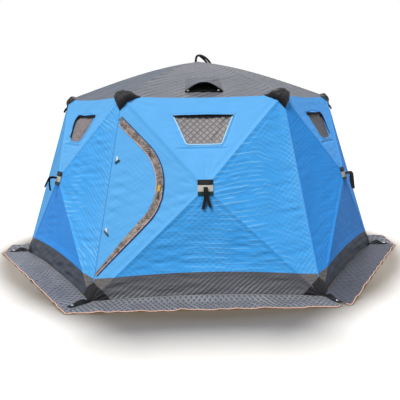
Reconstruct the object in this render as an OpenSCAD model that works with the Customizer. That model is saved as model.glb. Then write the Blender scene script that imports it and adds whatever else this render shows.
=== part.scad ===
// Six-sided pop-up ice fishing shelter: a quilted cover over a frame of hubs and poles.
// Millimetres, +Z up, origin on the ground below the roof's peak, door wall facing -Y.

/* [Shape] */
// Centre to a bottom corner
base_r = 1930; // [1850:10:2050]
// Centre to a top corner
eave_r = 1390; // [1330:10:1450]
// Height of the top corners
eave_h = 1670; // [1600:10:1750]
// Height of the roof's peak
peak_h = 2050; // [1960:10:2150]
// Centre to a wall hub
hub_r = 1590; // [1560:5:1630]
// Height of a wall hub
hub_h = 920; // [870:10:980]

/* [Cover] */
// Thickness of the quilted cloth
cloth_t = 6; // [4:0.5:9]
// Height of the dark band at a corner
band_h = 175; // [150:5:185]
// Rise of the band's upper edge between two corners
band_rise = 50; // [25:5:80]
// Rise of the band's lower edge between two corners
foot_rise = 38; // [20:2:60]
// Thickness of the corner caps and hub patches
cap_t = 3; // [2:0.5:4]
// Reach of a top cap along the eave
cap_reach = 164; // [120:4:200]
// Drop of a top cap down the corner
cap_drop = 130; // [90:5:140]
// Reach of a bottom cap along the hem
foot_reach = 165; // [120:5:200]
// Height of a bottom cap up the corner
foot_up = 160; // [120:5:170]
// Width of a hub patch
patch_w = 124; // [90:4:160]
// Diameter of the sewn bead on a corner
bead_d = 8; // [6:1:10]

/* [Snow skirt] */
// Width of the skirt beyond the wall
skirt_w = 270; // [210:10:400]
// Thickness of the skirt
skirt_t = 4; // [3:0.5:6]
// Gap between two skirts at a corner
skirt_gap = 14; // [14:1:24]
// Width of the skirt's slope up to the hem
slope_w = 120; // [60:10:150]
// Length of an anchor strap past the corner
anchor_l = 200; // [160:5:205]
// Width of an anchor strap
anchor_w = 30; // [26:1:40]
// Diameter of an anchor strap's eyelet
eyelet_d = 12; // [8:1:12]

/* [Windows] */
// Width of a window at its top
win_top = 510; // [400:10:560]
// Width of a window at its bottom
win_low = 290; // [200:10:320]
// Distance down the slope from the eave to a window
win_drop = 182; // [140:5:220]
// Height of a window down the slope
win_h = 271; // [200:5:290]
// Thickness of a window cover
cover_t = 4; // [2:0.5:4]

/* [Door] */
// Radius of the door's rounded free edge, and its width
door_r = 450; // [400:10:500]
// Height up the corner of the middle of the rounded edge
door_mid = 985; // [950:5:1020]
// Height up the corner of the door's lower tip
door_low = 200; // [198:2:220]
// Height up the corner of the door's upper tip
door_high = 1560; // [1530:5:1575]
// Gap round the door
door_gap = 5; // [5:0.5:8]
// Gap between the door and the sewn bead it hangs on
hinge_gap = 0.5; // [0.3:0.1:0.9]
// Width of the storm flap over the door's edge
flap_w = 60; // [44:2:70]
// Thickness of the storm flap
flap_t = 3; // [2:0.5:4]

/* [Roof vent] */
// Width of the vent hood
hood_w = 340; // [260:10:400]
// Depth of the vent hood up the roof
hood_l = 400; // [320:10:440]
// Height of the hood's open front
hood_h = 85; // [60:5:110]
// Distance from the eave to the hood
hood_up = 130; // [90:5:170]

/* [Frame] */
// Diameter of a pole
pole_d = 11; // [8:0.5:13]
// Diameter of a hub body
hub_d = 96; // [80:2:120]
// Thickness of a hub body
hub_t = 28; // [26:1:36]
// Diameter of a corner socket
socket_d = 44; // [40:1:56]

/* [Straps] */
// Width of the webbing
web_w = 25; // [20:1:40]
// Thickness of the webbing
web_t = 2.5; // [2:0.5:3.5]
// Hang of a hub strap below its hub
strap_drop = 120; // [80:5:180]
// Reach of a hub strap out from its hub
strap_out = 34; // [30:1:60]
// Width of the loop on the peak
loop_w = 180; // [120:5:220]

/* [Hidden] */
$fn = 128;
seam = 0.4;
clear = 0.3;
lap = 30;
pole_r = pole_d / 2;
bead_r = bead_d / 2;
socket_r = socket_d / 2;
web_bend = 14;
flap_lift = door_gap + 0.5;
flap_start = 30;
bead_low = foot_up + 5;
pole_seat = 2 * pole_r;
base_ap = base_r * cos(30);
eave_ap = eave_r * cos(30);
// The six corners of one wall, seen for the wall with the door
foot_left = [-base_r / 2, -base_ap, 0];
foot_right = [base_r / 2, -base_ap, 0];
top_left = [-eave_r / 2, -eave_ap, eave_h];
top_right = [eave_r / 2, -eave_ap, eave_h];
hub_at = [0, -hub_r, hub_h];
peak = [0, 0, peak_h];
mid_eave = [0, -eave_ap, eave_h];
edge_l = norm(top_left - foot_left);
bead_high = edge_l - cap_drop - 5;
// Every panel lies at about the same distance from this point
core = [0, 0, eave_h - eave_ap];
band_arc = (pow(base_r / 2, 2) + pow(band_rise, 2)) / (2 * band_rise);
foot_arc = (pow(base_r / 2, 2) + pow(foot_rise, 2)) / (2 * foot_rise);

function unit(v) = v / norm(v);
function outward(p, q, r) = unit(cross(r - p, q - p));
function depth_of(p, q, r) = abs((p - core) * outward(p, q, r));
// A point moved towards the core, as far as a plane of that depth moves in by d
function pulled(p, d, depth) = core + (p - core) * (1 - d / depth);
function along(p, q, d) = p + unit(q - p) * d;
function turned(p, a) = [p.x * cos(a) - p.y * sin(a), p.x * sin(a) + p.y * cos(a), p.z];
// The like point on the next wall, across the left corner
function twin(p) = turned([-p.x, p.y, p.z], -60);
function perimeter(p, q, r) = norm(q - r) + norm(r - p) + norm(p - q);
function incentre(p, q, r) =
    (p * norm(q - r) + q * norm(r - p) + r * norm(p - q)) / perimeter(p, q, r);
function inradius(p, q, r) = norm(cross(q - p, r - p)) / perimeter(p, q, r);
// A triangle with each side moved in by g
function inset(p, q, r, g) =
    let (c = incentre(p, q, r), k = 1 - g / inradius(p, q, r))
    [c + (p - c) * k, c + (q - c) * k, c + (r - c) * k];
function placing(o, x, y) =
    let (z = cross(x, y))
    [[x.x, y.x, z.x, o.x], [x.y, y.y, z.y, o.y], [x.z, y.z, z.z, o.z], [0, 0, 0, 1]];

wall_depth = depth_of(foot_left, top_left, hub_at);
roof_depth = depth_of(top_left, peak, top_right);
hub_axis = unit(outward(top_left, top_right, hub_at) + outward(foot_right, foot_left, hub_at)
    + outward(foot_left, top_left, hub_at) + outward(top_right, foot_right, hub_at));
hub_slope = acos(hub_axis * outward(foot_right, foot_left, hub_at));
hub_set = (cloth_t + clear) / cos(hub_slope) + hub_d / 2 * tan(hub_slope);
hub_core = hub_at - hub_axis * (hub_set + hub_t / 2);
roof_pitch = atan((peak_h - eave_h) / eave_ap);
roof_set = (cloth_t + clear) / cos(roof_pitch) + hub_d / 2 * tan(roof_pitch);
roof_core = peak - [0, 0, roof_set + hub_t / 2];
top_socket = pulled(top_left, cloth_t + clear + socket_r, roof_depth);
foot_socket = pulled(foot_left, cloth_t + clear + socket_r, wall_depth);

up_dir = unit(top_left - foot_left);
door_dir = unit(hub_at - foot_left - up_dir * ((hub_at - foot_left) * up_dir));
door_side = placing(foot_left, door_dir, up_dir);
window_side = placing(mid_eave, [1, 0, 0], unit(mid_eave - hub_at));
roof_side = placing(mid_eave, [1, 0, 0], unit(peak - mid_eave));
hub_side = placing(hub_at, [1, 0, 0], cross(hub_axis, [1, 0, 0]));

WALLS = ["front", "front_right", "back_right", "back", "back_left", "front_left"];

module round_wall(k) {
    rotate([0, 0, 60 * k]) children();
}

module all_round() {
    for (k = [0:5]) round_wall(k) children();
}

module rod(p, q, r) {
    d = q - p;
    translate(p)
        rotate([0, acos(d.z / norm(d)), atan2(d.y, d.x)])
            cylinder(r = r, h = norm(d));
}

// One flat piece of cloth, its corners given clockwise from outside
module panel(p, q, r) {
    face = inset(p, q, r, seam / 2);
    depth = depth_of(p, q, r);
    back = [for (v = face) pulled(v, cloth_t, depth)];
    polyhedron(concat(face, back),
        [[0, 1, 2], [5, 4, 3], [1, 0, 3, 4], [2, 1, 4, 5], [0, 2, 5, 3]]);
}

// A patch that follows the cover round a corner, its rim given clockwise from outside
module patch(tip, rim, whole) {
    n = len(rim);
    pts = concat([tip], rim);
    over = [for (p = pts) pulled(p, -clear - cap_t, wall_depth)];
    under = [for (p = pts) pulled(p, -clear, wall_depth)];
    m = n + 1;
    last = whole ? n : n - 1;
    next = [for (i = [0:n]) i < n ? i + 1 : 1];
    rim_faces = [for (i = [1:last]) [next[i], i, m + i, m + next[i]]];
    end_faces = whole ? [] : [[1, 0, m, m + 1], [0, n, m + n, m]];
    polyhedron(concat(over, under), concat(
        [for (i = [1:last]) [0, i, next[i]]],
        [for (i = [1:last]) [m, m + next[i], m + i]],
        rim_faces, end_faces));
}

// All that lies under an arc across the wall, which meets the corners at height h
module under_arc(h, rise, arc_r, less) {
    translate([0, -base_r / 4, h + rise - arc_r])
        rotate([90, 0, 0])
            cylinder(r = arc_r - less, h = base_r, $fn = 720);
}

module left_bead(g) {
    rod(along(foot_left, top_left, bead_low - g), along(foot_left, top_left, bead_high + g), bead_r + g);
}

module left_panel() {
    difference() {
        panel(foot_left, top_left, hub_at);
        left_bead(clear);
    }
}

module right_panel() {
    difference() {
        panel(top_right, foot_right, hub_at);
        rotate([0, 0, 60]) left_bead(clear);
    }
}

module lower_panel() {
    panel(foot_right, foot_left, hub_at);
}

function window_shape(g) = [
    [-win_low / 2 - g, -win_drop - win_h - g],
    [win_low / 2 + g, -win_drop - win_h - g],
    [win_top / 2 + g, -win_drop + g],
    [-win_top / 2 - g, -win_drop + g]];

module upper_panel() {
    difference() {
        panel(top_left, top_right, hub_at);
        multmatrix(window_side)
            translate([0, 0, -2 * cloth_t])
                linear_extrude(3 * cloth_t) polygon(window_shape(0));
    }
}

// The cover of one wall above its band; the door's own side is a piece by itself
module wall(k) {
    color("royalblue") round_wall(k) {
        upper_panel();
        difference() {
            union() {
                right_panel();
                if (k > 0) left_panel();
            }
            under_arc(band_h, band_rise, band_arc, 0);
        }
        difference() {
            lower_panel();
            under_arc(band_h, band_rise, band_arc, 0);
        }
    }
}

module band(k) {
    color("dimgray") round_wall(k) intersection() {
        difference() {
            union() {
                lower_panel();
                left_panel();
                right_panel();
            }
            under_arc(0, foot_rise, foot_arc, 0);
        }
        under_arc(band_h, band_rise, band_arc, seam);
    }
}

// The door's outline with its edge moved out by g, hung on the corner at x = 0
function door_shape(g) =
    let (r = door_r + g, k = r / door_r, low = (door_mid - door_low) * k, high = (door_high - door_mid) * k)
    let (a = -asin(r / low), b = asin(r / high), n = 28)
    concat([[0, door_mid - low]],
        [for (i = [0:n]) [0, door_mid] + r * [cos(a + (b - a) * i / n), sin(a + (b - a) * i / n)]],
        [[0, door_mid + high]]);

module beyond(x) {
    translate([x, 0]) square([2 * door_r, edge_l]);
}

module door_side_panel() {
    color("royalblue") difference() {
        left_panel();
        under_arc(band_h, band_rise, band_arc, 0);
        multmatrix(door_side)
            translate([0, 0, -2 * cloth_t]) {
                linear_extrude(4 * cloth_t) polygon(door_shape(0));
                translate([0, door_mid - seam / 2, 0])
                    cube([2 * door_r, seam, 4 * cloth_t]);
            }
    }
}

module door_panel() {
    color("royalblue") multmatrix(door_side)
        translate([0, 0, -cloth_t])
            linear_extrude(cloth_t) intersection() {
                polygon(door_shape(-door_gap));
                beyond(bead_r + hinge_gap);
            }
}

module flap_strip(g0, g1) {
    intersection() {
        difference() {
            polygon(door_shape(g1));
            polygon(door_shape(g0));
        }
        beyond(flap_start);
    }
}

// Sewn to the door by its inner edge, its free edge stands over the wall
module storm_flap() {
    color("gray") multmatrix(door_side) {
        linear_extrude(flap_lift + flap_t) flap_strip(-flap_w / 2, -door_gap - 2);
        translate([0, 0, flap_lift])
            linear_extrude(flap_t) flap_strip(-flap_w / 2, flap_w / 2);
    }
}

module zip_pull() {
    top = flap_lift + flap_t;
    color("gold") multmatrix(door_side) translate([door_r, door_mid, top]) {
        translate([-8, -12, 0]) cube([16, 24, 5]);
        translate([-5, -70, 0]) cube([10, 62, 3]);
    }
}

module door_toggles() {
    color("ivory") multmatrix(door_side)
        for (v = [door_mid - 400, door_mid + 212]) translate([44, v, 0]) {
            translate([-6, -20, 0]) cube([12, 40, web_t]);
            translate([-13, 0, web_t + 2]) rotate([0, 90, 0]) cylinder(d = 9, h = 26);
        }
}

module roof() {
    color("gray") for (k = [0:5]) round_wall(k) difference() {
        panel(top_left, peak, top_right);
        if (k == 0) multmatrix(roof_side)
            translate([-hood_w / 2 + lap, hood_up + lap, -2 * cloth_t])
                cube([hood_w - 2 * lap, hood_l / 2, 4 * cloth_t]);
    }
}

module vent_mesh() {
    color("black") multmatrix(roof_side)
        translate([-hood_w / 2 + lap + clear, hood_up + lap + clear, -cloth_t])
            cube([hood_w - 2 * lap - 2 * clear, hood_l / 2 - 2 * clear, 2]);
}

// A wedge with a round front, lying on the roof
module hood_block(g) {
    hull() {
        translate([0, hood_up, 0]) rotate([90, 0, 0])
            linear_extrude(1) intersection() {
                scale([1, 2 * (hood_h - g) / (hood_w - 2 * g)]) circle(d = hood_w - 2 * g, $fn = 64);
                translate([-hood_w, 0]) square([2 * hood_w, hood_h]);
            }
        translate([-hood_w / 2 + g, hood_up + hood_l - 2 * g, 0])
            cube([hood_w - 2 * g, 1, cap_t - g / 2]);
    }
}

module vent_hood() {
    color("gray") multmatrix(roof_side) translate([0, 0, clear]) difference() {
        hood_block(0);
        translate([0, -clear, -clear]) hood_block(cap_t);
        translate([-hood_w / 2 + cap_t, hood_up - 2, -1])
            cube([hood_w - 2 * cap_t, hood_l - 6 * cap_t, 1 + clear]);
    }
}

module window_covers() {
    color("rosybrown") all_round() multmatrix(window_side)
        translate([0, 0, -cloth_t])
            linear_extrude(cover_t) polygon(window_shape(-clear));
}

module top_caps() {
    side = along(top_left, hub_at, cap_drop / 2);
    eave = along(top_left, top_right, cap_reach);
    rim = [along(top_left, peak, cap_drop / 2), eave, side, along(top_left, foot_left, cap_drop),
        twin(side), twin(eave)];
    color("black") all_round() patch(top_left, rim, true);
}

function foot_z(x) = foot_rise - foot_arc + sqrt(pow(foot_arc, 2) - x * x);
function hem(x, z) = [x, -base_ap + (base_ap - hub_r) * z / hub_h, z];

module bottom_caps() {
    side = along(foot_left, hub_at, foot_up * 0.75);
    hem_x = foot_reach - base_r / 2;
    end = hem(hem_x, foot_z(hem_x));
    rim = [twin(end), twin(side), along(foot_left, top_left, foot_up), side, end];
    color("black") all_round() intersection() {
        patch(foot_left, rim, false);
        translate([-base_r, -2 * base_r, 0]) cube([2 * base_r, 2 * base_r, eave_h]);
    }
}

module corner_seams() {
    color("navy") all_round() left_bead(0);
}

module hub_patches() {
    f_up = patch_w / eave_r;
    f_low = patch_w / base_r;
    rim = [hub_at + (top_left - hub_at) * f_up, hub_at + (top_right - hub_at) * f_up,
        hub_at + (foot_right - hub_at) * f_low, hub_at + (foot_left - hub_at) * f_low];
    color("silver") all_round() patch(hub_at, rim, true);
}

// Webbing that stands out from the middle of a hub patch and hangs down
module hub_straps() {
    root = cap_t + 2 * clear + 0.4;
    color("black") all_round()
        translate([-web_w / 2, -hub_r - root, hub_h])
            rotate([90, 0, 90]) linear_extrude(web_w) {
                translate([web_bend - strap_out, 0]) square([strap_out - web_bend, web_t]);
                translate([-strap_out, -strap_drop]) square([web_t, strap_drop + web_t - web_bend]);
                translate([web_bend - strap_out, web_t - web_bend]) intersection() {
                    difference() {
                        circle(r = web_bend);
                        circle(r = web_bend - web_t);
                    }
                    translate([-web_bend, 0]) square(web_bend);
                }
            }
}

module roof_strap() {
    r = loop_w / 2;
    foot = peak_h - (r - web_t) * (peak_h - eave_h) / eave_r + clear;
    color("black") translate([0, web_w / 2, foot])
        rotate([90, 0, 0]) linear_extrude(web_w) difference() {
            circle(r = r);
            circle(r = r - web_t);
            translate([-loop_w, -2 * loop_w]) square(2 * loop_w);
        }
}

// A flap along one wall: it slopes from the hem to the ground and then lies flat
module skirt(k) {
    n = 24;
    step = base_r / n;
    rows = [for (row = [0:2]) [for (i = [0:n])
        let (t = 2 * i / n - 1, hem_x = t * base_r / 2)
        let (gap = abs(hem_x) > base_r / 2 - foot_reach - step ? cap_t + 5 * clear : clear)
        let (s = row == 0 ? gap : row == 1 ? slope_w : skirt_w)
        let (z = row == 0 ? max(0, foot_z(hem_x) - skirt_t) : 0)
        hem(t * ((base_ap + s) * tan(30) - skirt_gap / 2 / cos(30)), z) - [0, s, 0]]];
    low = [for (row = rows) each row];
    m = len(low);
    w = n + 1;
    flat = [for (r = [0:1], i = [0:n - 1]) [r * w + i, r * w + i + 1, r * w + w + i + 1, r * w + w + i]];
    sides = concat(
        [for (i = [0:n - 1]) [i, i + 1]], [for (i = [0:n - 1]) [2 * w + i + 1, 2 * w + i]],
        [for (r = [0:1]) [r * w + w, r * w]], [for (r = [0:1]) [r * w + n, r * w + w + n]]);
    color("slategray") round_wall(k) polyhedron(
        concat(low, [for (p = low) p + [0, 0, skirt_t]]), concat(
        [for (f = flat) [f[0], f[2], f[1]]],
        [for (f = flat) [f[0], f[3], f[2]]],
        [for (f = flat) [m + f[0], m + f[1], m + f[2]]],
        [for (f = flat) [m + f[0], m + f[2], m + f[3]]],
        [for (e = sides) [e[0], e[1], m + e[1], m + e[0]]]));
}

module anchor_straps() {
    color("black") all_round() rotate([0, 0, -120])
        translate([base_r, 0, skirt_t + 2 * clear]) difference() {
            translate([cap_t + 1.5, -anchor_w / 2, 0]) cube([anchor_l - cap_t, anchor_w, web_t]);
            translate([anchor_l - anchor_w, 0, -1]) cylinder(d = eyelet_d, h = web_t + 2);
        }
}

// The corners that one wall's poles run to, as the middles of their sockets
function flip(p) = [-p.x, p.y, p.z];
pole_ends = [top_socket, flip(top_socket), foot_socket, flip(foot_socket)];

module pole(hub, socket) {
    rod(along(hub, socket, 2 * pole_seat), along(socket, hub, pole_seat), pole_r);
}

module wall_poles(k) {
    color("dimgray") round_wall(k)
        for (p = pole_ends) pole(hub_core, p);
}

module roof_poles() {
    color("dimgray") all_round() pole(roof_core, top_socket);
}

module hub_body(set) {
    translate([0, 0, -set - hub_t]) cylinder(d = hub_d, h = hub_t);
}

module wall_hubs() {
    nose = (cloth_t + clear) / cos(hub_slope) + hub_t / 2 * tan(hub_slope);
    color("black") all_round() difference() {
        union() {
            multmatrix(hub_side) {
                hub_body(hub_set);
                translate([0, 0, -hub_set - 1]) cylinder(d = hub_t, h = hub_set + 1 - nose);
            }
            for (p = pole_ends) rod(hub_core, along(hub_core, p, 0.8 * hub_d), pole_r + 4);
        }
        for (p = pole_ends) rod(along(hub_core, p, 2 * pole_seat - clear), p, pole_r + clear);
    }
}

module roof_hub() {
    nose = (cloth_t + clear) / cos(roof_pitch) + hub_t / 2 * tan(roof_pitch);
    color("black") difference() {
        union() {
            translate(peak) {
                hub_body(roof_set);
                translate([0, 0, -roof_set - 1]) cylinder(d = hub_t, h = roof_set + 1 - nose);
            }
            all_round() rod(roof_core, along(roof_core, top_socket, 0.8 * hub_d), pole_r + 4);
        }
        all_round() rod(along(roof_core, top_socket, 2 * pole_seat - clear), top_socket, pole_r + clear);
    }
}

module socket_bore(at, to) {
    rod(along(at, to, pole_seat - clear), along(at, to, 2 * socket_r), pole_r + clear);
}

module top_sockets() {
    color("black") all_round() difference() {
        translate(top_socket) sphere(r = socket_r);
        socket_bore(top_socket, hub_core);
        socket_bore(top_socket, twin(hub_core));
        socket_bore(top_socket, roof_core);
    }
}

module bottom_sockets() {
    color("black") all_round() difference() {
        translate(foot_socket) sphere(r = socket_r);
        translate(foot_left - [base_r / 4, base_r / 4, base_r]) cube([base_r / 2, base_r / 2, base_r]);
        socket_bore(foot_socket, hub_core);
        socket_bore(foot_socket, twin(hub_core));
    }
}

for (k = [0:5]) wall(k);
for (k = [0:5]) band(k);
for (k = [0:5]) skirt(k);
for (k = [0:5]) wall_poles(k);
roof();
door_side_panel();
corner_seams();
top_caps();
bottom_caps();
window_covers();
hub_patches();
hub_straps();
roof_strap();
vent_hood();
vent_mesh();
anchor_straps();
roof_poles();
wall_hubs();
roof_hub();
top_sockets();
bottom_sockets();
door_panel();
storm_flap();
zip_pull();
door_toggles();
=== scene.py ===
"""Looks of a six-sided pop-up ice fishing shelter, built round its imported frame."""
import math

import bpy
import numpy as np
from mathutils import Matrix, Vector


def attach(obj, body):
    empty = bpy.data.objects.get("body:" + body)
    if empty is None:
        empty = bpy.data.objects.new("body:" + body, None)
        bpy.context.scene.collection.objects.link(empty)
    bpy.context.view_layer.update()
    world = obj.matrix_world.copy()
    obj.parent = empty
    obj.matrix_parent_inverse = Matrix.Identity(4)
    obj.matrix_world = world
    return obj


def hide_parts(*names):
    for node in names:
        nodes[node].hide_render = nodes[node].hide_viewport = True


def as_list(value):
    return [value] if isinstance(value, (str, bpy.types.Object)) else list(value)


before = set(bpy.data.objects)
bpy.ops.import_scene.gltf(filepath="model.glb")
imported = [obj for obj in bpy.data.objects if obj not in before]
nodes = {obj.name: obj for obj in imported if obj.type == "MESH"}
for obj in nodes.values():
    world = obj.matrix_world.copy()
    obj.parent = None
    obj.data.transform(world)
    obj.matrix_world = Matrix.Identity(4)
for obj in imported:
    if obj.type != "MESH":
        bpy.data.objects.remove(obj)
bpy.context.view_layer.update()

# Driving sizes, in metres, as in the part's source
BASE_R, EAVE_R, HUB_R = 1.930, 1.390, 1.590
EAVE_H, PEAK_H, HUB_H = 1.670, 2.050, 0.920
CLOTH_T = 0.006
BAND_H, BAND_RISE, FOOT_RISE = 0.175, 0.050, 0.038
CAP_REACH, CAP_DROP, FOOT_REACH, FOOT_UP = 0.164, 0.130, 0.165, 0.160
SKIRT_W, SKIRT_GAP, SLOPE_W, SKIRT_T = 0.270, 0.014, 0.120, 0.004
WIN_TOP, WIN_LOW, WIN_DROP, WIN_H = 0.510, 0.290, 0.182, 0.271
DOOR_R, DOOR_MID, DOOR_LOW, DOOR_HIGH, DOOR_GAP = 0.450, 0.985, 0.200, 1.560, 0.005
HINGE_U = 0.0045
HOOD_W, HOOD_L, HOOD_H, HOOD_UP, VENT_LAP = 0.340, 0.400, 0.085, 0.130, 0.030
WEB_W, WEB_T = 0.025, 0.0025
WALLS = ["front", "front_right", "back_right", "back", "back_left", "front_left"]

# How the cloth hangs: the eave between two corners, the roof's bow, the folds, and the ridges over the poles
EAVE_SAG = np.array([0.0, 0.006, -0.018])
BOW_HIGH, BOW_LOW, PANEL_SAG = 0.060, 0.026, 0.012
HOLD_W, SHORT_FOLD, LONG_FOLD, STAR_R, FOLD_WAVES = 0.06, 0.075, 0.24, 0.22, 9
POLE_RIDGE, POLE_GROOVE = (0.0035, 0.013), (-0.0016, 0.012, 0.034)
QUILT, ROOF_QUILT, HOOD_QUILT, BAND_QUILT, WIN_QUILT = 0.036, 0.058, 0.044, 0.030, 0.040
QUILT_ANGLE = math.radians(40)
UPPER_FOLDS = dict(folds=0.0009, quilt=0.0004)
DOOR_FOLDS = dict(folds=0.0012, quilt=0.0005)
BAND_FOLDS = dict(folds=0.0030, sag=0.0, pitch=BAND_QUILT)
ROOF_FOLDS = dict(folds=0.0018, quilt=0.0007, sag=0.016, along=0.4)

# Seeds of the random folds; those of the walls' panels rise from wall to wall
UPPER_SEED, RIGHT_SEED, LEFT_SEED, LOWER_SEED, BAND_SEED, CORNER_SEED, SEED_STEP = 11, 13, 15, 17, 19, 21, 10
ROOF_SEED, TOP_CAP_SEED, FOOT_CAP_SEED, FLAP_SEED = 81, 31, 41, 5
SKIRT_EDGE_SEED, SKIRT_FOLD_SEED, SKIRT_CREASE_SEED = 60, 70, 90

COARSE = 4  # steps of a cloth's outer face for one step of its back
SHARP = math.radians(55)
GROUND_CLEAR = 0.0004


def unit(v):
    v = np.asarray(v, float)
    return v / np.linalg.norm(v)


def units(rows):
    return rows / np.linalg.norm(rows, axis=-1, keepdims=True)


C30 = math.cos(math.radians(30))
T30 = math.tan(math.radians(30))
BASE_AP, EAVE_AP = BASE_R * C30, EAVE_R * C30
CORE = np.array([0, 0, EAVE_H - EAVE_AP])
FOOT = np.array([-BASE_R / 2, -BASE_AP, 0])
TOP = np.array([-EAVE_R / 2, -EAVE_AP, EAVE_H])
HUB = np.array([0, -HUB_R, HUB_H])
PEAK = np.array([0, 0, PEAK_H])
FLIP = np.array([-1, 1, 1])
UP = np.array([0, 0, 1])
MID_EAVE = np.array([0, -EAVE_AP, EAVE_H])
MID_FOOT = np.array([0, -BASE_AP, 0])
BAND_ARC = ((BASE_R / 2) ** 2 + BAND_RISE ** 2) / (2 * BAND_RISE)
FOOT_ARC = ((BASE_R / 2) ** 2 + FOOT_RISE ** 2) / (2 * FOOT_RISE)


def turn(points, k):
    """Points of the front wall, moved to wall k."""
    a = math.radians(60 * k)
    c, s = math.cos(a), math.sin(a)
    return points @ np.array([[c, s, 0], [-s, c, 0], [0, 0, 1]])


def twin(p):
    """The like point on the next wall, across the left corner."""
    return turn(np.asarray(p) * FLIP, -1)


def smooth(t):
    t = np.clip(t, 0, 1)
    return t * t * (3 - 2 * t)


def lerp(a, b, t):
    return a + (b - a) * t


def ridge(d, height, width, at=0.0):
    """A smooth ridge where the distance d has a given value, or a groove if its height is below 0."""
    return height * np.exp(-((d - at) / width) ** 2)


class Panel:
    """A flat piece of the cover, with its own grid in metres."""

    def __init__(self, origin, ex, ey, corners):
        self.o, self.ex, self.ey = origin, unit(ex), unit(ey)
        self.tri = [self.flat(p) for p in corners]

    def at(self, xy):
        return self.o + xy[..., :1] * self.ex + xy[..., 1:] * self.ey

    def flat(self, p):
        d = np.asarray(p) - self.o
        return np.stack([d @ self.ex, d @ self.ey], -1)

    def shares(self, xy):
        """How near each grid point is to each corner, as shares that add up to 1."""
        a, b, c = self.tri
        m = np.linalg.inv(np.array([b - a, c - a]).T)
        st = (xy - a) @ m.T
        return np.stack([1 - st.sum(-1), st[..., 0], st[..., 1]], -1)

    def edge_distance(self, xy):
        a, b, c = self.tri
        area = abs(np.cross(b - a, c - a))
        sides = np.array([np.linalg.norm(b - c), np.linalg.norm(c - a), np.linalg.norm(a - b)])
        return self.shares(xy) * area / sides


SEAM_DIR = unit(TOP - FOOT)
DOOR_DIR = unit(HUB - FOOT - SEAM_DIR * ((HUB - FOOT) @ SEAM_DIR))
upper = Panel(MID_EAVE, [1, 0, 0], MID_EAVE - HUB, (TOP, TOP * FLIP, HUB))
side = Panel(FOOT, DOOR_DIR, SEAM_DIR, (FOOT, TOP, HUB))
lower = Panel(MID_FOOT, [1, 0, 0], HUB - MID_FOOT, (FOOT * FLIP, FOOT, HUB))
gore = Panel(MID_EAVE, [1, 0, 0], PEAK - MID_EAVE, (TOP, TOP * FLIP, PEAK))


def outward(p):
    return units(p - CORE)


def eave_shift(panel, xy):
    """The eave hangs a little between two corners and takes the cloth beside it along."""
    b = panel.shares(xy)
    near = np.clip(b[..., 0] + b[..., 1], 1e-6, None)
    hang = np.clip(4 * b[..., 0] * b[..., 1] / near ** 2, 0, 1) * near ** 5
    shift = hang[..., None] * EAVE_SAG
    if panel is gore:
        shift[..., 2] += 4 * near * (1 - near) * lerp(BOW_HIGH, BOW_LOW, near)
    return shift


def raised(panel, xy, high):
    """Points that stand some way above a panel, and the directions that they stand out in."""
    flat = panel.at(xy)
    out = outward(flat)
    hung = flat + eave_shift(panel, xy) if panel in (upper, gore) else flat
    return hung + out * high[..., None], out


def ripples(xy, seed, wavelength, along, spread):
    """Smooth random folds of about one wavelength, with crests that run along one direction."""
    rng = np.random.default_rng(seed)
    out = np.zeros(xy.shape[:-1])
    for _ in range(FOLD_WAVES):
        a = along + math.pi / 2 + rng.normal(0, spread)
        k = 2 * math.pi / (wavelength * rng.uniform(0.7, 1.6))
        out += np.sin(k * (xy[..., 0] * math.cos(a) + xy[..., 1] * math.sin(a)) + rng.uniform(0, 6.28))
    return out / math.sqrt(FOLD_WAVES)


def quilt_uv(xy, pitch=QUILT, angle=QUILT_ANGLE):
    """Grid points counted in stitch lines, along both of the quilting's directions."""
    c, s = math.cos(angle), math.sin(angle)
    return np.stack([xy[..., 0] * s + xy[..., 1] * c, -xy[..., 0] * s + xy[..., 1] * c], -1) / pitch


def pillow(uv):
    return np.sqrt(np.abs(np.sin(math.pi * uv[..., 0]) * np.sin(math.pi * uv[..., 1])))


def relief(panel, xy, seed, folds, sag=PANEL_SAG, quilt=0.0008, along=0.0, pitch=QUILT, star=0.0028):
    """How far the cloth stands out from its flat panel: sag, folds, quilting and the poles' ridges."""
    b, d = np.clip(panel.shares(xy), 0, 1), panel.edge_distance(xy)
    held = smooth(d.min(-1) / HOLD_W)
    mask = smooth(0.5 + 0.5 * ripples(xy, seed + 1, 0.7, 0.6, 2.0))
    h = -sag * 27 * b[..., 0] * b[..., 1] * b[..., 2]
    h = h + folds * held * (0.35 + mask) * ripples(xy, seed, SHORT_FOLD, along, 0.25)
    h = h + folds * held * 1.2 * ripples(xy, seed + 2, LONG_FOLD, along + 0.9, 0.6)
    for i, corner in enumerate(panel.tri):
        r = np.linalg.norm(xy - corner, axis=-1)
        a = np.arctan2(xy[..., 1] - corner[1], xy[..., 0] - corner[0])
        spokes = np.sin(15 * a + seed + i) * np.sin(7 * a + 2 * seed)
        h = h + star * held * spokes * np.exp(-r / STAR_R) * smooth(r / 0.08)
    for i in (0, 1):
        h = h + ridge(d[..., i], *POLE_RIDGE)
        h = h + ridge(d[..., i], *POLE_GROOVE)
    return h + quilt * pillow(quilt_uv(xy, pitch)) * smooth(d.min(-1) / 0.02)


def lowest_near(h, wrap):
    """The lowest value within one coarse step of each grid point."""
    for axis in (0, 1):
        pad = [(COARSE, COARSE) if i == axis else (0, 0) for i in (0, 1)]
        wide = np.pad(h, pad, mode="wrap" if wrap and axis == 0 else "edge")
        h = np.lib.stride_tricks.sliding_window_view(wide, 2 * COARSE + 1, axis).min(-1)
    return h


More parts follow.
